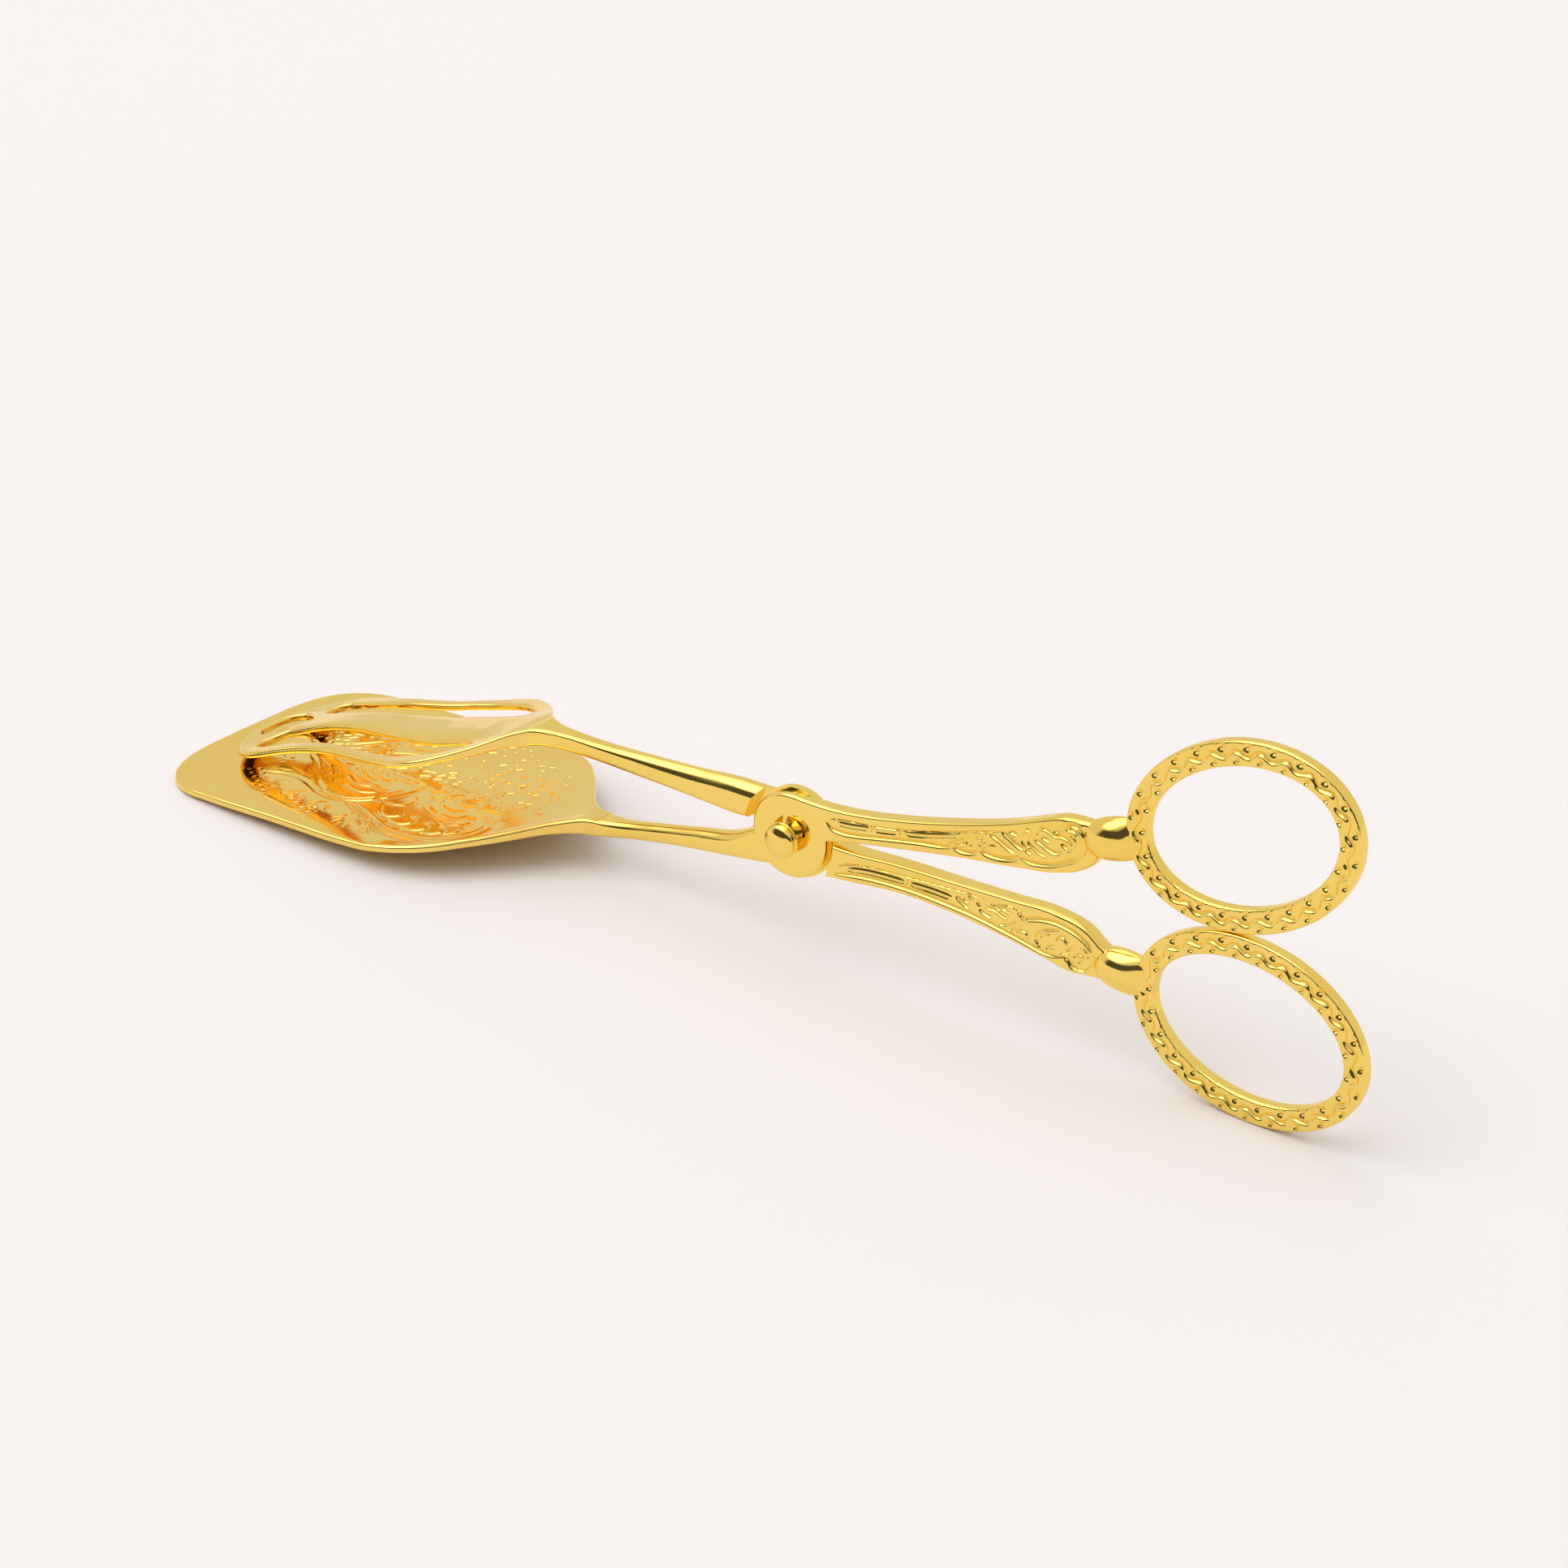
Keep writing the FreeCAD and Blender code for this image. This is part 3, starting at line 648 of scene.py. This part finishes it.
def combine(base, other, operation):
    """Change base by a boolean with another closed mesh, which is used up."""
    step = base.modifiers.new("boolean", "BOOLEAN")
    step.operation = operation
    step.solver = "MANIFOLD"
    step.object = other
    bpy.context.view_layer.update()
    done = bpy.data.meshes.new_from_object(base.evaluated_get(bpy.context.evaluated_depsgraph_get()))
    base.modifiers.clear()
    old = base.data
    base.data = done
    bpy.data.meshes.remove(old)
    bpy.data.objects.remove(other)


def ornament(strokes, angle_degrees):
    """Relief of a handle, as a function of layout x and z."""
    def relief(places):
        x, z = (places - PIVOT).T
        own_places = np.column_stack(turned(x, z, -math.radians(angle_degrees)))
        return engrave(own_places, strokes, HANDLE_WIDER, HANDLE_DEEPER)
    return relief


def rear_flute(x):
    """How far the rear arm's upper front edge is rounded off, more so toward the hub."""
    ease = np.clip((x + 46) / 32, 0, 1)
    ease = (ease * ease * (3 - 2 * ease)) ** 1.5
    return 1.6 * ease, 0.5 * ease


def front_shift(x):
    """The upper handle is thinner at the back near the hub, so its middle moves forward there."""
    return -0.5 * np.clip((30 - x) / 22, 0, 1)


def add_lever(name, arm, handle, relief, bead, handle_angle, ring_turn, in_front):
    """One cast lever, with its half of the hub in front or behind."""
    angle = math.radians(handle_angle)
    inner = LAP_GAP / 2
    outer = HUB_THICKNESS / 2
    fine = section_samples(60, 14, 4, 4)
    plain = section_samples(7, 7, 7, 6)
    lever = add_bar(name, arm, 0.3, plain, unevenness=0.02, flute=None if in_front else rear_flute)
    grip = add_bar("grip", handle, 0.11, fine, relief, shift=front_shift if in_front else None)
    combine(lever, grip, "UNION")
    if in_front:
        cutter = add_disc("cutter", REAR_HUB_RADIUS + FRONT_LAP_CLEARANCE, -inner, outer + 1.0)
        hub = add_disc("hub", FRONT_HUB_RADIUS, -outer, -inner, edge_from=HUB_EDGE)
    else:
        cutter = add_disc("cutter", FRONT_HUB_RADIUS + REAR_LAP_CLEARANCE, -outer - 1.0, inner)
        hub = add_disc("hub", REAR_HUB_RADIUS, inner, outer, edge_to=HUB_EDGE)
    combine(lever, cutter, "DIFFERENCE")
    combine(lever, hub, "UNION")
    combine(lever, add_bead("bead", bead, angle), "UNION")
    combine(lever, add_ring("ring", angle, math.radians(ring_turn)), "UNION")
    return lever


def cut_recess(lever):
    """Cut the eight-sided recess under the rivet head."""
    front = -HUB_THICKNESS / 2
    turn = np.radians(22.5 + 45 * np.arange(8))
    x = PIVOT[0] + RECESS_SHIFT[0] + RECESS_RADIUS * np.cos(turn)
    z = PIVOT[1] + RECESS_SHIFT[1] + RECESS_RADIUS * np.sin(turn)
    points = np.vstack([laid(x, front - 1, z), laid(x, front + RECESS_DEPTH, z)])
    faces = grid_faces(2, 8) + [tuple(range(8)), tuple(range(8, 16))]
    combine(lever, add_mesh("recess", points, faces), "DIFFERENCE")


def cut_hole(lever, radius, y_from, y_to):
    """Bore a hub for the rivet."""
    combine(lever, add_disc("hole", radius, y_from, y_to, segments=64), "DIFFERENCE")


def loop_normals(loop, seam_x=None):
    """Unit normals pointing right of a closed loop's run."""
    ahead = unit(np.roll(loop, -1, 0) - loop)
    behind = unit(loop - np.roll(loop, 1, 0))
    along = unit(ahead + behind)
    normal = np.column_stack([along[:, 1], -along[:, 0]])
    if seam_x is not None:
        end = loop[:, 0] > seam_x - 1e-6
        normal[end] = np.column_stack([np.zeros(end.sum()), -np.sign(loop[end, 1])])
    return normal


def inside(places, loop):
    """Which 2-D places are inside a closed loop."""
    found = np.zeros(len(places), bool)
    x, y = places[:, 0], places[:, 1]
    for a, b in zip(loop, np.roll(loop, -1, 0)):
        if a[1] == b[1]:
            continue
        crosses = (a[1] > y) != (b[1] > y)
        found ^= crosses & (x < (b[0] - a[0]) * (y - a[1]) / (b[1] - a[1]) + a[0])
    return found


def clear_of(places, loop, gap):
    """Which 2-D places are at least gap away from a loop's points."""
    clear = []
    for part in np.array_split(places, len(places) // 4000 + 1):
        away = ((part[:, None, :] - loop[None]) ** 2).sum(2).min(1)
        clear.append(away > gap * gap)
    return np.concatenate(clear)


def fill_between(loops, xs, ys):
    """Triangles over the area inside the first loop and outside the others, with inner points on
    the lines xs and ys.  The loops' own points come first."""
    grid = np.stack(np.meshgrid(xs, ys), -1).reshape(-1, 2)
    gap = 0.55 * np.linalg.norm(loops[0][1] - loops[0][0])
    keep = inside(grid, loops[0]) & clear_of(grid, loops[0], gap)
    for loop in loops[1:]:
        keep &= ~inside(grid, loop) & clear_of(grid, loop, gap)
    grid = grid[keep]
    edges = []
    start = 0
    for loop in loops:
        edges += [(start + i, start + (i + 1) % len(loop)) for i in range(len(loop))]
        start += len(loop)
    places = np.vstack(list(loops) + [grid])
    result = delaunay_2d_cdt([Vector(p) for p in places.tolist()], edges, [], 0, 1e-7)
    order = np.array([ids[0] for ids in result[3]])
    triangles = order[np.array(result[2])]
    middle = places[triangles].mean(1)
    good = inside(middle, loops[0])
    for loop in loops[1:]:
        good &= ~inside(middle, loop)
    return places, triangles[good]


def add_plate(name, loops, seam_x, top, thickness, rim, low_rim, top_lines, low_lines, wall_relief=None):
    """A formed plate: closed plan loops, rounded edges, a top surface and a thickness.  Its inner
    points are on the x and y lines given for the top and for the underside.
    The first loop runs clockwise seen from above, so its right-hand side is the inside."""
    turns = [math.radians(90 * k / 6) for k in range(7)]
    levels = [("top", 1 - math.cos(t), 1 - math.sin(t)) for t in turns[::-1]]
    levels += [("wall", 0.0, share) for share in (0.33, 0.67)]
    levels += [("low", 1 - math.cos(t), 1 - math.sin(t)) for t in turns]
    points = []
    faces = []
    rings = []
    total = 0
    for index, loop in enumerate(loops):
        normal = loop_normals(loop, seam_x if index == 0 else None)
        loop_rings = []
        edge = rim(loop[:, 0])
        for kind, inset, drop in levels:
            reach = edge if kind == "top" else low_rim
            place = loop + normal * (inset * reach * np.ones(len(loop)))[:, None]
            surface = top(place[:, 0], place[:, 1])
            thick = thickness(place[:, 0])
            if kind == "top":
                z = surface - edge * drop
            elif kind == "low":
                z = surface - thick + low_rim * drop
            else:
                z = (surface - edge) * (1 - drop) + (surface - thick + low_rim) * drop
            if wall_relief is not None and index == 0 and inset < 0.3:
                place = place - normal * wall_relief(place)[:, None]
            points.append(np.column_stack([place, z]))
            loop_rings.append(np.arange(total, total + len(loop)))
            total += len(loop)
        rings.append(loop_rings)
        for above, below in zip(loop_rings, loop_rings[1:]):
            faces += np.stack([np.roll(above, -1), above, below, np.roll(below, -1)], 1).tolist()
    for level, lines in ((0, top_lines), (-1, low_lines)):
        border = np.concatenate([r[level] for r in rings])
        rims = np.vstack(points)[border, :2]
        inner = np.split(rims, np.cumsum([len(loop) for loop in loops])[:-1])
        places, triangles = fill_between(inner, *lines)
        extra = places[len(border):]
        z = top(extra[:, 0], extra[:, 1])
        if level == -1:
            z = z - thickness(extra[:, 0])
        number = np.concatenate([border, np.arange(total, total + len(extra))])
        points.append(np.column_stack([extra, z]))
        total += len(extra)
        faces += number[triangles].tolist()
    flat = np.vstack(points)
    return add_mesh(name, laid(flat[:, 0], flat[:, 1], flat[:, 2]), faces)


def wound(loop, way):
    """A closed loop, run anticlockwise where way is 1 and clockwise where it is -1."""
    after = np.roll(loop, -1, 0)
    area = np.sum(loop[:, 0] * after[:, 1] - after[:, 0] * loop[:, 1])
    return loop if area * way > 0 else loop[::-1]


def half_to_loop(outline, step):
    """A clockwise closed loop from half an outline that ends at the seam."""
    half = np.array(outline, float)
    whole = np.vstack([half[::-1], half * (1, -1)])
    return wound(path_through(whole, step), -1)


def ahead_of(point, angle, length):
    """The place that is a length away from a point."""
    return point[0] + length * math.cos(angle), point[1] + length * math.sin(angle)


def spray(origin, heading, spread, length, count):
    """Short curved strokes that fan out from a point."""
    strokes = []
    for k in range(count):
        share = k / (count - 1) - 0.5
        angle = math.radians(heading + spread * share)
        bow = math.radians(heading + spread * share * 1.8)
        reach = length * (1 - 0.9 * share * share)
        middle = ahead_of(origin, angle, 0.55 * reach)
        end = ahead_of(middle, bow, 0.5 * reach)
        strokes.append((*SMALL_STROKE, ahead_of(origin, angle, 0.8), middle, end))
    return strokes


def blade_marks():
    """All strokes and dots of the blade's near half."""
    strokes = BLADE_STEMS + BLADE_CURLS
    for item in BLADE_SPRAYS:
        strokes += spray(*item)
    dots = []
    for start, end, rows, spacing in BLADE_DOTS:
        start = np.array(start)
        along = unit(end - start)
        side = np.array([-along[1], along[0]])
        count = int(np.linalg.norm(end - start) / spacing)
        for row in range(rows):
            for k in range(count - row % 2):
                dots.append(start + along * (k + 0.5 * (row % 2)) * spacing + side * row * 0.8 * spacing)
    return strokes, np.array(dots)


def blade_flecks():
    """Short scattered cuts that fill the ground of the engraving, but for its near part."""
    random = np.random.default_rng(5)
    middle, half_length, half_width = FLECK_FIELD
    flecks = []
    for x in np.arange(-99.0, -47.0, FLECK_PITCH[0]):
        for y in np.arange(-19.0, 19.5, FLECK_PITCH[1]):
            px = x + random.uniform(-0.7, 0.7)
            py = y + random.uniform(-0.45, 0.45)
            turn = random.uniform(-0.7, 0.7) + 0.5 * math.sin(px * 0.35 + py * 0.5)
            reach = random.uniform(0.5, 0.95)
            inside_field = ((px - middle) / half_length) ** 2 + (py / half_width) ** 2 < 1
            if inside_field and py > -3.0 and random.uniform() < FLECK_SHARE:
                start = ahead_of((px, py), turn, -reach)
                end = ahead_of((px, py), turn, reach)
                flecks.append((*FLECK_CUT, start, (px, py + 0.12), end))
    return flecks


def add_blade():
    """The spade blade, on a grid that is fine where it is engraved."""
    loops = [half_to_loop(BLADE_OUTLINE, 0.35)]
    strokes, dots = blade_marks()
    width = np.array(BLADE_OUTLINE[9:])
    flecks = blade_flecks()
    def engraving(x, y):
        near = np.column_stack([x, -np.abs(y)])
        height = engrave(near, strokes, BLADE_WIDER, BLADE_DEEPER)
        height += punch(near, dots)
        height *= np.clip(1 - (x + 80) / 6 * (y > 0), 0, 1)
        quiet = np.clip(1 - np.abs(height) / 0.03, 0, 1)
        return height + quiet * engrave(np.column_stack([x, y]), flecks)
    def top(x, y):
        edge = np.interp(x, width[:, 0], width[:, 1]) - np.abs(y)
        rise = RIM_RISE * np.clip((x + 66) / 14, 0, 1) * np.clip((-37 - x) / 6, 0, 1)
        curl = rise * np.exp(-(edge / CURL_WIDTH) ** 2)
        return curve_through(BLADE_PROFILE, x)[:, 0] + engraving(x, y) + curl
    def thickness(x):
        return curve_through(BLADE_PROFILE, x)[:, 1]
    xs = np.concatenate([
        np.arange(-112.8, -102, 0.6), np.arange(-102, -46, 0.2), np.arange(-46, -36.3, 0.5),
    ])
    ys = np.concatenate([
        np.arange(-23.6, -21.6, 0.6), np.arange(-21.6, 21.6, 0.2), np.arange(21.6, 23.8, 0.6),
    ])
    low_lines = (np.arange(-112.6, -36.4, 0.9), np.arange(-23.4, 23.6, 0.9))
    def rim(x):
        return 0.42 + 0.26 * np.clip((x + 66) / 14, 0, 1) - 0.1 * np.clip((x + 40) / 4, 0, 1)
    return add_plate("spade_blade_gold", loops, BLADE_SEAM_X, top, thickness, rim, 0.3,
                     (xs, ys), low_lines)


def jaw_shift(x):
    """Sideways offset of the openwork jaw: none at the seam."""
    return JAW_OFFSET_Y * np.clip((JAW_SEAM_X - x) / 20.0, 0, 1)


def add_jaw():
    """The openwork jaw with its two slots and tip opening."""
    openings = [[(x, side * y) for x, y in SLOT] for side in (1, -1)]
    openings.append(TIP_OPENING + [(x, -y) for x, y in TIP_OPENING[-2:0:-1]])
    loops = [half_to_loop(JAW_OUTLINE, 0.3)]
    loops += [wound(path_through(opening, 0.3, closed=True), 1) for opening in openings]
    loops = [np.column_stack([loop[:, 0], loop[:, 1] + jaw_shift(loop[:, 0])]) for loop in loops]
    def top(x, y):
        along = np.clip((x + 109) / 9, 0, 1) * np.clip((JAW_SEAM_X - 1 - x) / 9, 0, 1)
        crown = JAW_CROWN * along * np.exp(-((y - jaw_shift(x)) / JAW_CROWN_WIDTH) ** 4)
        return curve_through(JAW_PROFILE, x)[:, 0] + crown
    def thickness(x):
        return curve_through(JAW_PROFILE, x)[:, 1]
    def serration(place):
        reach = np.clip((place[:, 0] + 101.5) / 1.5, 0, 1) * np.clip((-89 - place[:, 0]) / 1.5, 0, 1)
        near = place[:, 1] < 0
        teeth = 0.5 + 0.5 * np.cos(place[:, 0] * 2 * np.pi / TEETH_PITCH)
        return -TEETH_DEPTH * reach * near * teeth
    lines = (np.arange(-108.6, -49.0, 0.4), np.arange(-16.0, 17.0, 0.4))
    def rim(x):
        return np.full(len(x), 0.5)
    return add_plate("openwork_jaw_gold", loops, JAW_SEAM_X, top, thickness, rim, 0.4,
                     lines, lines, wall_relief=serration)


def add_rivet():
    """The rivet: domed head, shank and closed tail."""
    seat = -HUB_THICKNESS / 2 - WASHER_STANDOFF - WASHER_FLANGE
    rim = seat - HEAD_RIM
    tail = HUB_THICKNESS / 2 + LAP_GAP
    dome = []
    for k in range(11):
        radius = (HEAD_RADIUS - 0.25) * k / 10
        dome.append((radius, rim - HEAD_DOME * (1 - (radius / HEAD_RADIUS) ** 2)))
    corners = [
        (HEAD_RADIUS, rim + 0.12), (HEAD_RADIUS, seat), (SHANK_RADIUS, seat), (SHANK_RADIUS, tail),
        (TAIL_RADIUS, tail), (TAIL_RADIUS, tail + TAIL_HEIGHT), (0, tail + TAIL_HEIGHT),
    ]
    profile = dome[:-1] + rounded_profile([dome[-1]] + corners, 0.22)
    return add_lathe("pivot_rivet_gold", profile, 96)


def add_washer():
    """The flanged washer between rivet head and recess floor."""
    floor = -HUB_THICKNESS / 2 + RECESS_DEPTH
    back = -HUB_THICKNESS / 2 - WASHER_STANDOFF
    front = back - WASHER_FLANGE
    profile = [
        (SHANK_RADIUS, front), (WASHER_RADIUS - 0.12, front), (WASHER_RADIUS, front + 0.12),
        (WASHER_RADIUS, back - 0.1), (WASHER_RADIUS - 0.1, back), (WASHER_NECK_RADIUS + 0.1, back),
        (WASHER_NECK_RADIUS, back + 0.1), (WASHER_NECK_RADIUS, floor), (SHANK_RADIUS, floor),
    ]
    return add_lathe("pivot_washer_gold", profile, 96, closed=True)


def shade(piece):
    """Smooth shading that keeps sharp edges, with area-weighted normals."""
    mesh = piece.data
    mesh.shade_smooth()
    mesh.set_sharp_from_angle(angle=math.radians(SHARP_ANGLE))
    step = piece.modifiers.new("normals", "WEIGHTED_NORMAL")
    step.keep_sharp = True
    step.mode = "FACE_AREA"
    step.weight = 50


def set_inputs(tree, node, inputs):
    """Give sockets of a node their values, or join them to sockets of other nodes."""
    for key, value in inputs.items():
        if isinstance(value, bpy.types.NodeSocket):
            tree.links.new(value, node.inputs[key])
        else:
            node.inputs[key].default_value = value


def add_node(tree, kind, output, inputs=None, **settings):
    """A new shader node's output socket."""
    node = tree.nodes.new(kind)
    for key, value in settings.items():
        setattr(node, key, value)
    set_inputs(tree, node, inputs or {})
    return node.outputs[output]


def add_noise(tree, place, scale, detail, roughness=0.5):
    """The value of a noise texture at a place."""
    inputs = {"Vector": place, "Scale": scale, "Detail": detail, "Roughness": roughness}
    return add_node(tree, "ShaderNodeTexNoise", "Fac", inputs)


def add_bump(tree, height, distance, **inputs):
    """Normals of a surface with bumps up to a distance high."""
    inputs = {"Height": height, "Strength": 1.0, "Distance": distance, **inputs}
    return add_node(tree, "ShaderNodeBump", "Normal", inputs)


def add_ramp(tree, value, low_color, high_color):
    """A colour that changes as a noise value rises."""
    color = add_node(tree, "ShaderNodeValToRGB", "Color", {"Fac": value})
    stops = color.node.color_ramp.elements
    for stop, position, stop_color in zip(stops, (0.3, 0.7), (low_color, high_color)):
        stop.position = position
        stop.color = (*stop_color, 1)
    return color


def gold(name, color, deep, roughness, peel, scratches):
    """Gold plating: colour that drifts a little, slight ripples and hair scratches.  peel and
    scratches are their heights in metres."""
    material = bpy.data.materials.new(name)
    material.use_nodes = True
    tree = material.node_tree
    place = add_node(tree, "ShaderNodeTexCoord", "Object")
    drift = add_noise(tree, place, DRIFT_SCALE, 3.0)
    spread = add_node(tree, "ShaderNodeMapRange", "Result", {
        "Value": add_noise(tree, place, SMEAR_SCALE, 6.0, 0.7), "From Min": 0.35, "From Max": 0.7,
        "To Min": roughness * 0.7, "To Max": roughness * 1.5,
    })
    stretched = add_node(tree, "ShaderNodeMapping", "Vector", {
        "Vector": place, "Scale": HAIR_SCALE, "Rotation": (0.3, 0.2, 0.5),
    })
    ripples = add_bump(tree, add_noise(tree, place, RIPPLE_SCALE, 2.0), peel)
    hairs = add_bump(tree, add_noise(tree, stretched, 1.0, 4.0), scratches, Normal=ripples)
    set_inputs(tree, tree.nodes["Principled BSDF"], {
        "Metallic": 1.0, "Specular Tint": GOLD_TINT, "Base Color": add_ramp(tree, drift, deep, color),
        "Roughness": spread, "Normal": hairs,
    })
    return material


def add_camera():
    """The camera, leaned by its roll."""
    azimuth = math.radians(CAMERA_AZIMUTH)
    elevation = math.radians(CAMERA_ELEVATION)
    roll = math.radians(CAMERA_ROLL)
    reach = math.cos(elevation)
    back = Vector((math.sin(azimuth) * reach, -math.cos(azimuth) * reach, math.sin(elevation)))
    level = Vector((math.cos(azimuth), math.sin(azimuth), 0))
    upright = back.cross(level)
    right = level * math.cos(roll) + upright * math.sin(roll)
    up = upright * math.cos(roll) - level * math.sin(roll)
    place = (Vector(CAMERA_AIM) + back * CAMERA_DISTANCE) * MM
    data = bpy.data.cameras.new("camera")
    data.lens = CAMERA_LENS
    data.sensor_width = 36
    data.clip_start = 0.01
    camera = bpy.data.objects.new("camera", data)
    camera.matrix_world = Matrix.Translation(place) @ Matrix((right, up, back)).transposed().to_4x4()
    bpy.context.scene.collection.objects.link(camera)
    bpy.context.scene.camera = camera


def add_floor():
    """The pale paper under the tongs."""
    bpy.ops.mesh.primitive_plane_add(size=FLOOR_SIZE, location=(0, 0, -FLOOR_DROP))
    floor = bpy.context.object
    floor.name = "floor"
    material = bpy.data.materials.new("floor_paper")
    material.use_nodes = True
    set_inputs(material.node_tree, material.node_tree.nodes["Principled BSDF"], {
        "Base Color": FLOOR_COLOR, "Roughness": 0.65, "Specular IOR Level": 0.15,
    })
    floor.data.materials.append(material)


def add_softbox():
    """The large soft light, a square that looks at the tongs."""
    light = bpy.data.lights.new("softbox", "AREA")
    light.shape = "RECTANGLE"
    light.size = SOFTBOX_SIDE
    light.size_y = SOFTBOX_SIDE
    light.energy = SOFTBOX_LIGHT * math.pi * SOFTBOX_SIDE ** 2
    light.color = SOFTBOX_COLOR
    lamp = bpy.data.objects.new("softbox", light)
    lamp.location = SOFTBOX_PLACE
    lamp.rotation_euler = (-Vector(SOFTBOX_PLACE)).to_track_quat("-Z", "Y").to_euler()
    bpy.context.scene.collection.objects.link(lamp)


def soft_step(tree, value, edges):
    """A node socket that rises smoothly from 0 to 1 between two edges."""
    inputs = {"Value": value, "From Min": edges[0], "From Max": edges[1]}
    return add_node(tree, "ShaderNodeMapRange", "Result", inputs, interpolation_type="SMOOTHSTEP")


def toward(tree, place, side):
    """How far each direction of the room points to a side."""
    return add_node(tree, "ShaderNodeVectorMath", "Value", {0: place, 1: side}, operation="DOT_PRODUCT")


def mix(tree, share, low, high):
    """A strength between low and high."""
    return add_node(tree, "ShaderNodeMapRange", "Result", {"Value": share, "To Min": low, "To Max": high})


def add_room():
    """A pale room with a bright patch overhead, whose front side is dim up to a moderate height."""
    world = bpy.data.worlds.new("room")
    bpy.context.scene.world = world
    world.use_nodes = True
    tree = world.node_tree
    place = add_node(tree, "ShaderNodeTexCoord", "Generated")
    front = soft_step(tree, toward(tree, place, DIM_SIDE), DIM_EDGE)
    high = soft_step(tree, toward(tree, place, (0, 0, 1)), DIM_TOP)
    low = add_node(tree, "ShaderNodeMath", "Value", {0: 1.0, 1: high}, operation="SUBTRACT")
    dim = add_node(tree, "ShaderNodeMath", "Value", {0: front, 1: low}, operation="MULTIPLY")
    sky = soft_step(tree, toward(tree, place, SKY_SIDE), SKY_EDGE)
    level = mix(tree, dim, mix(tree, sky, ROOM_LIGHT, ROOM_SKY), ROOM_DIM)
    set_inputs(tree, tree.nodes["Background"], {"Color": ROOM_COLOR, "Strength": level})


add_camera()
add_floor()
add_room()
add_softbox()

cast = gold("cast_gold", (0.96, 0.72, 0.19), (0.93, 0.65, 0.13), 0.07, 0.000012, 0.0000012)
rolled = gold("rolled_gold", (0.94, 0.68, 0.18), (0.91, 0.63, 0.15), 0.1, 0.000006, 0.0000015)
front_lever = add_lever("blade_lever_gold", FRONT_ARM, UPPER_HANDLE,
                        ornament(UPPER_ORNAMENT, UPPER_ORNAMENT_ANGLE), UPPER_BEAD,
                        UPPER_HANDLE_ANGLE, RING_TURN, True)
cut_recess(front_lever)
cut_hole(front_lever, SHANK_RADIUS, -HUB_THICKNESS / 2 - 1, 1.0)
rear_lever = add_lever("jaw_lever_gold", REAR_ARM, LOWER_HANDLE,
                       ornament(LOWER_ORNAMENT, LOWER_ORNAMENT_ANGLE), LOWER_BEAD,
                       LOWER_HANDLE_ANGLE, -RING_TURN, False)
cut_hole(rear_lever, SHANK_RADIUS + SHANK_FIT, -1.0, HUB_THICKNESS)

finished = [
    (front_lever, "blade_side", "blade_lever", cast),
    (rear_lever, "jaw_side", "jaw_lever", cast),
    (add_blade(), "blade_side", "spade_blade", rolled),
    (add_jaw(), "jaw_side", "openwork_jaw", rolled),
    (add_rivet(), "blade_side", "pivot_rivet", cast),
    (add_washer(), "blade_side", "pivot_washer", cast),
]
for piece, body, node, material in finished:
    piece.data.materials.clear()
    piece.data.materials.append(material)
    shade(piece)
    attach(piece, body)
    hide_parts(node)

bpy.context.scene.view_settings.view_transform = "Standard"
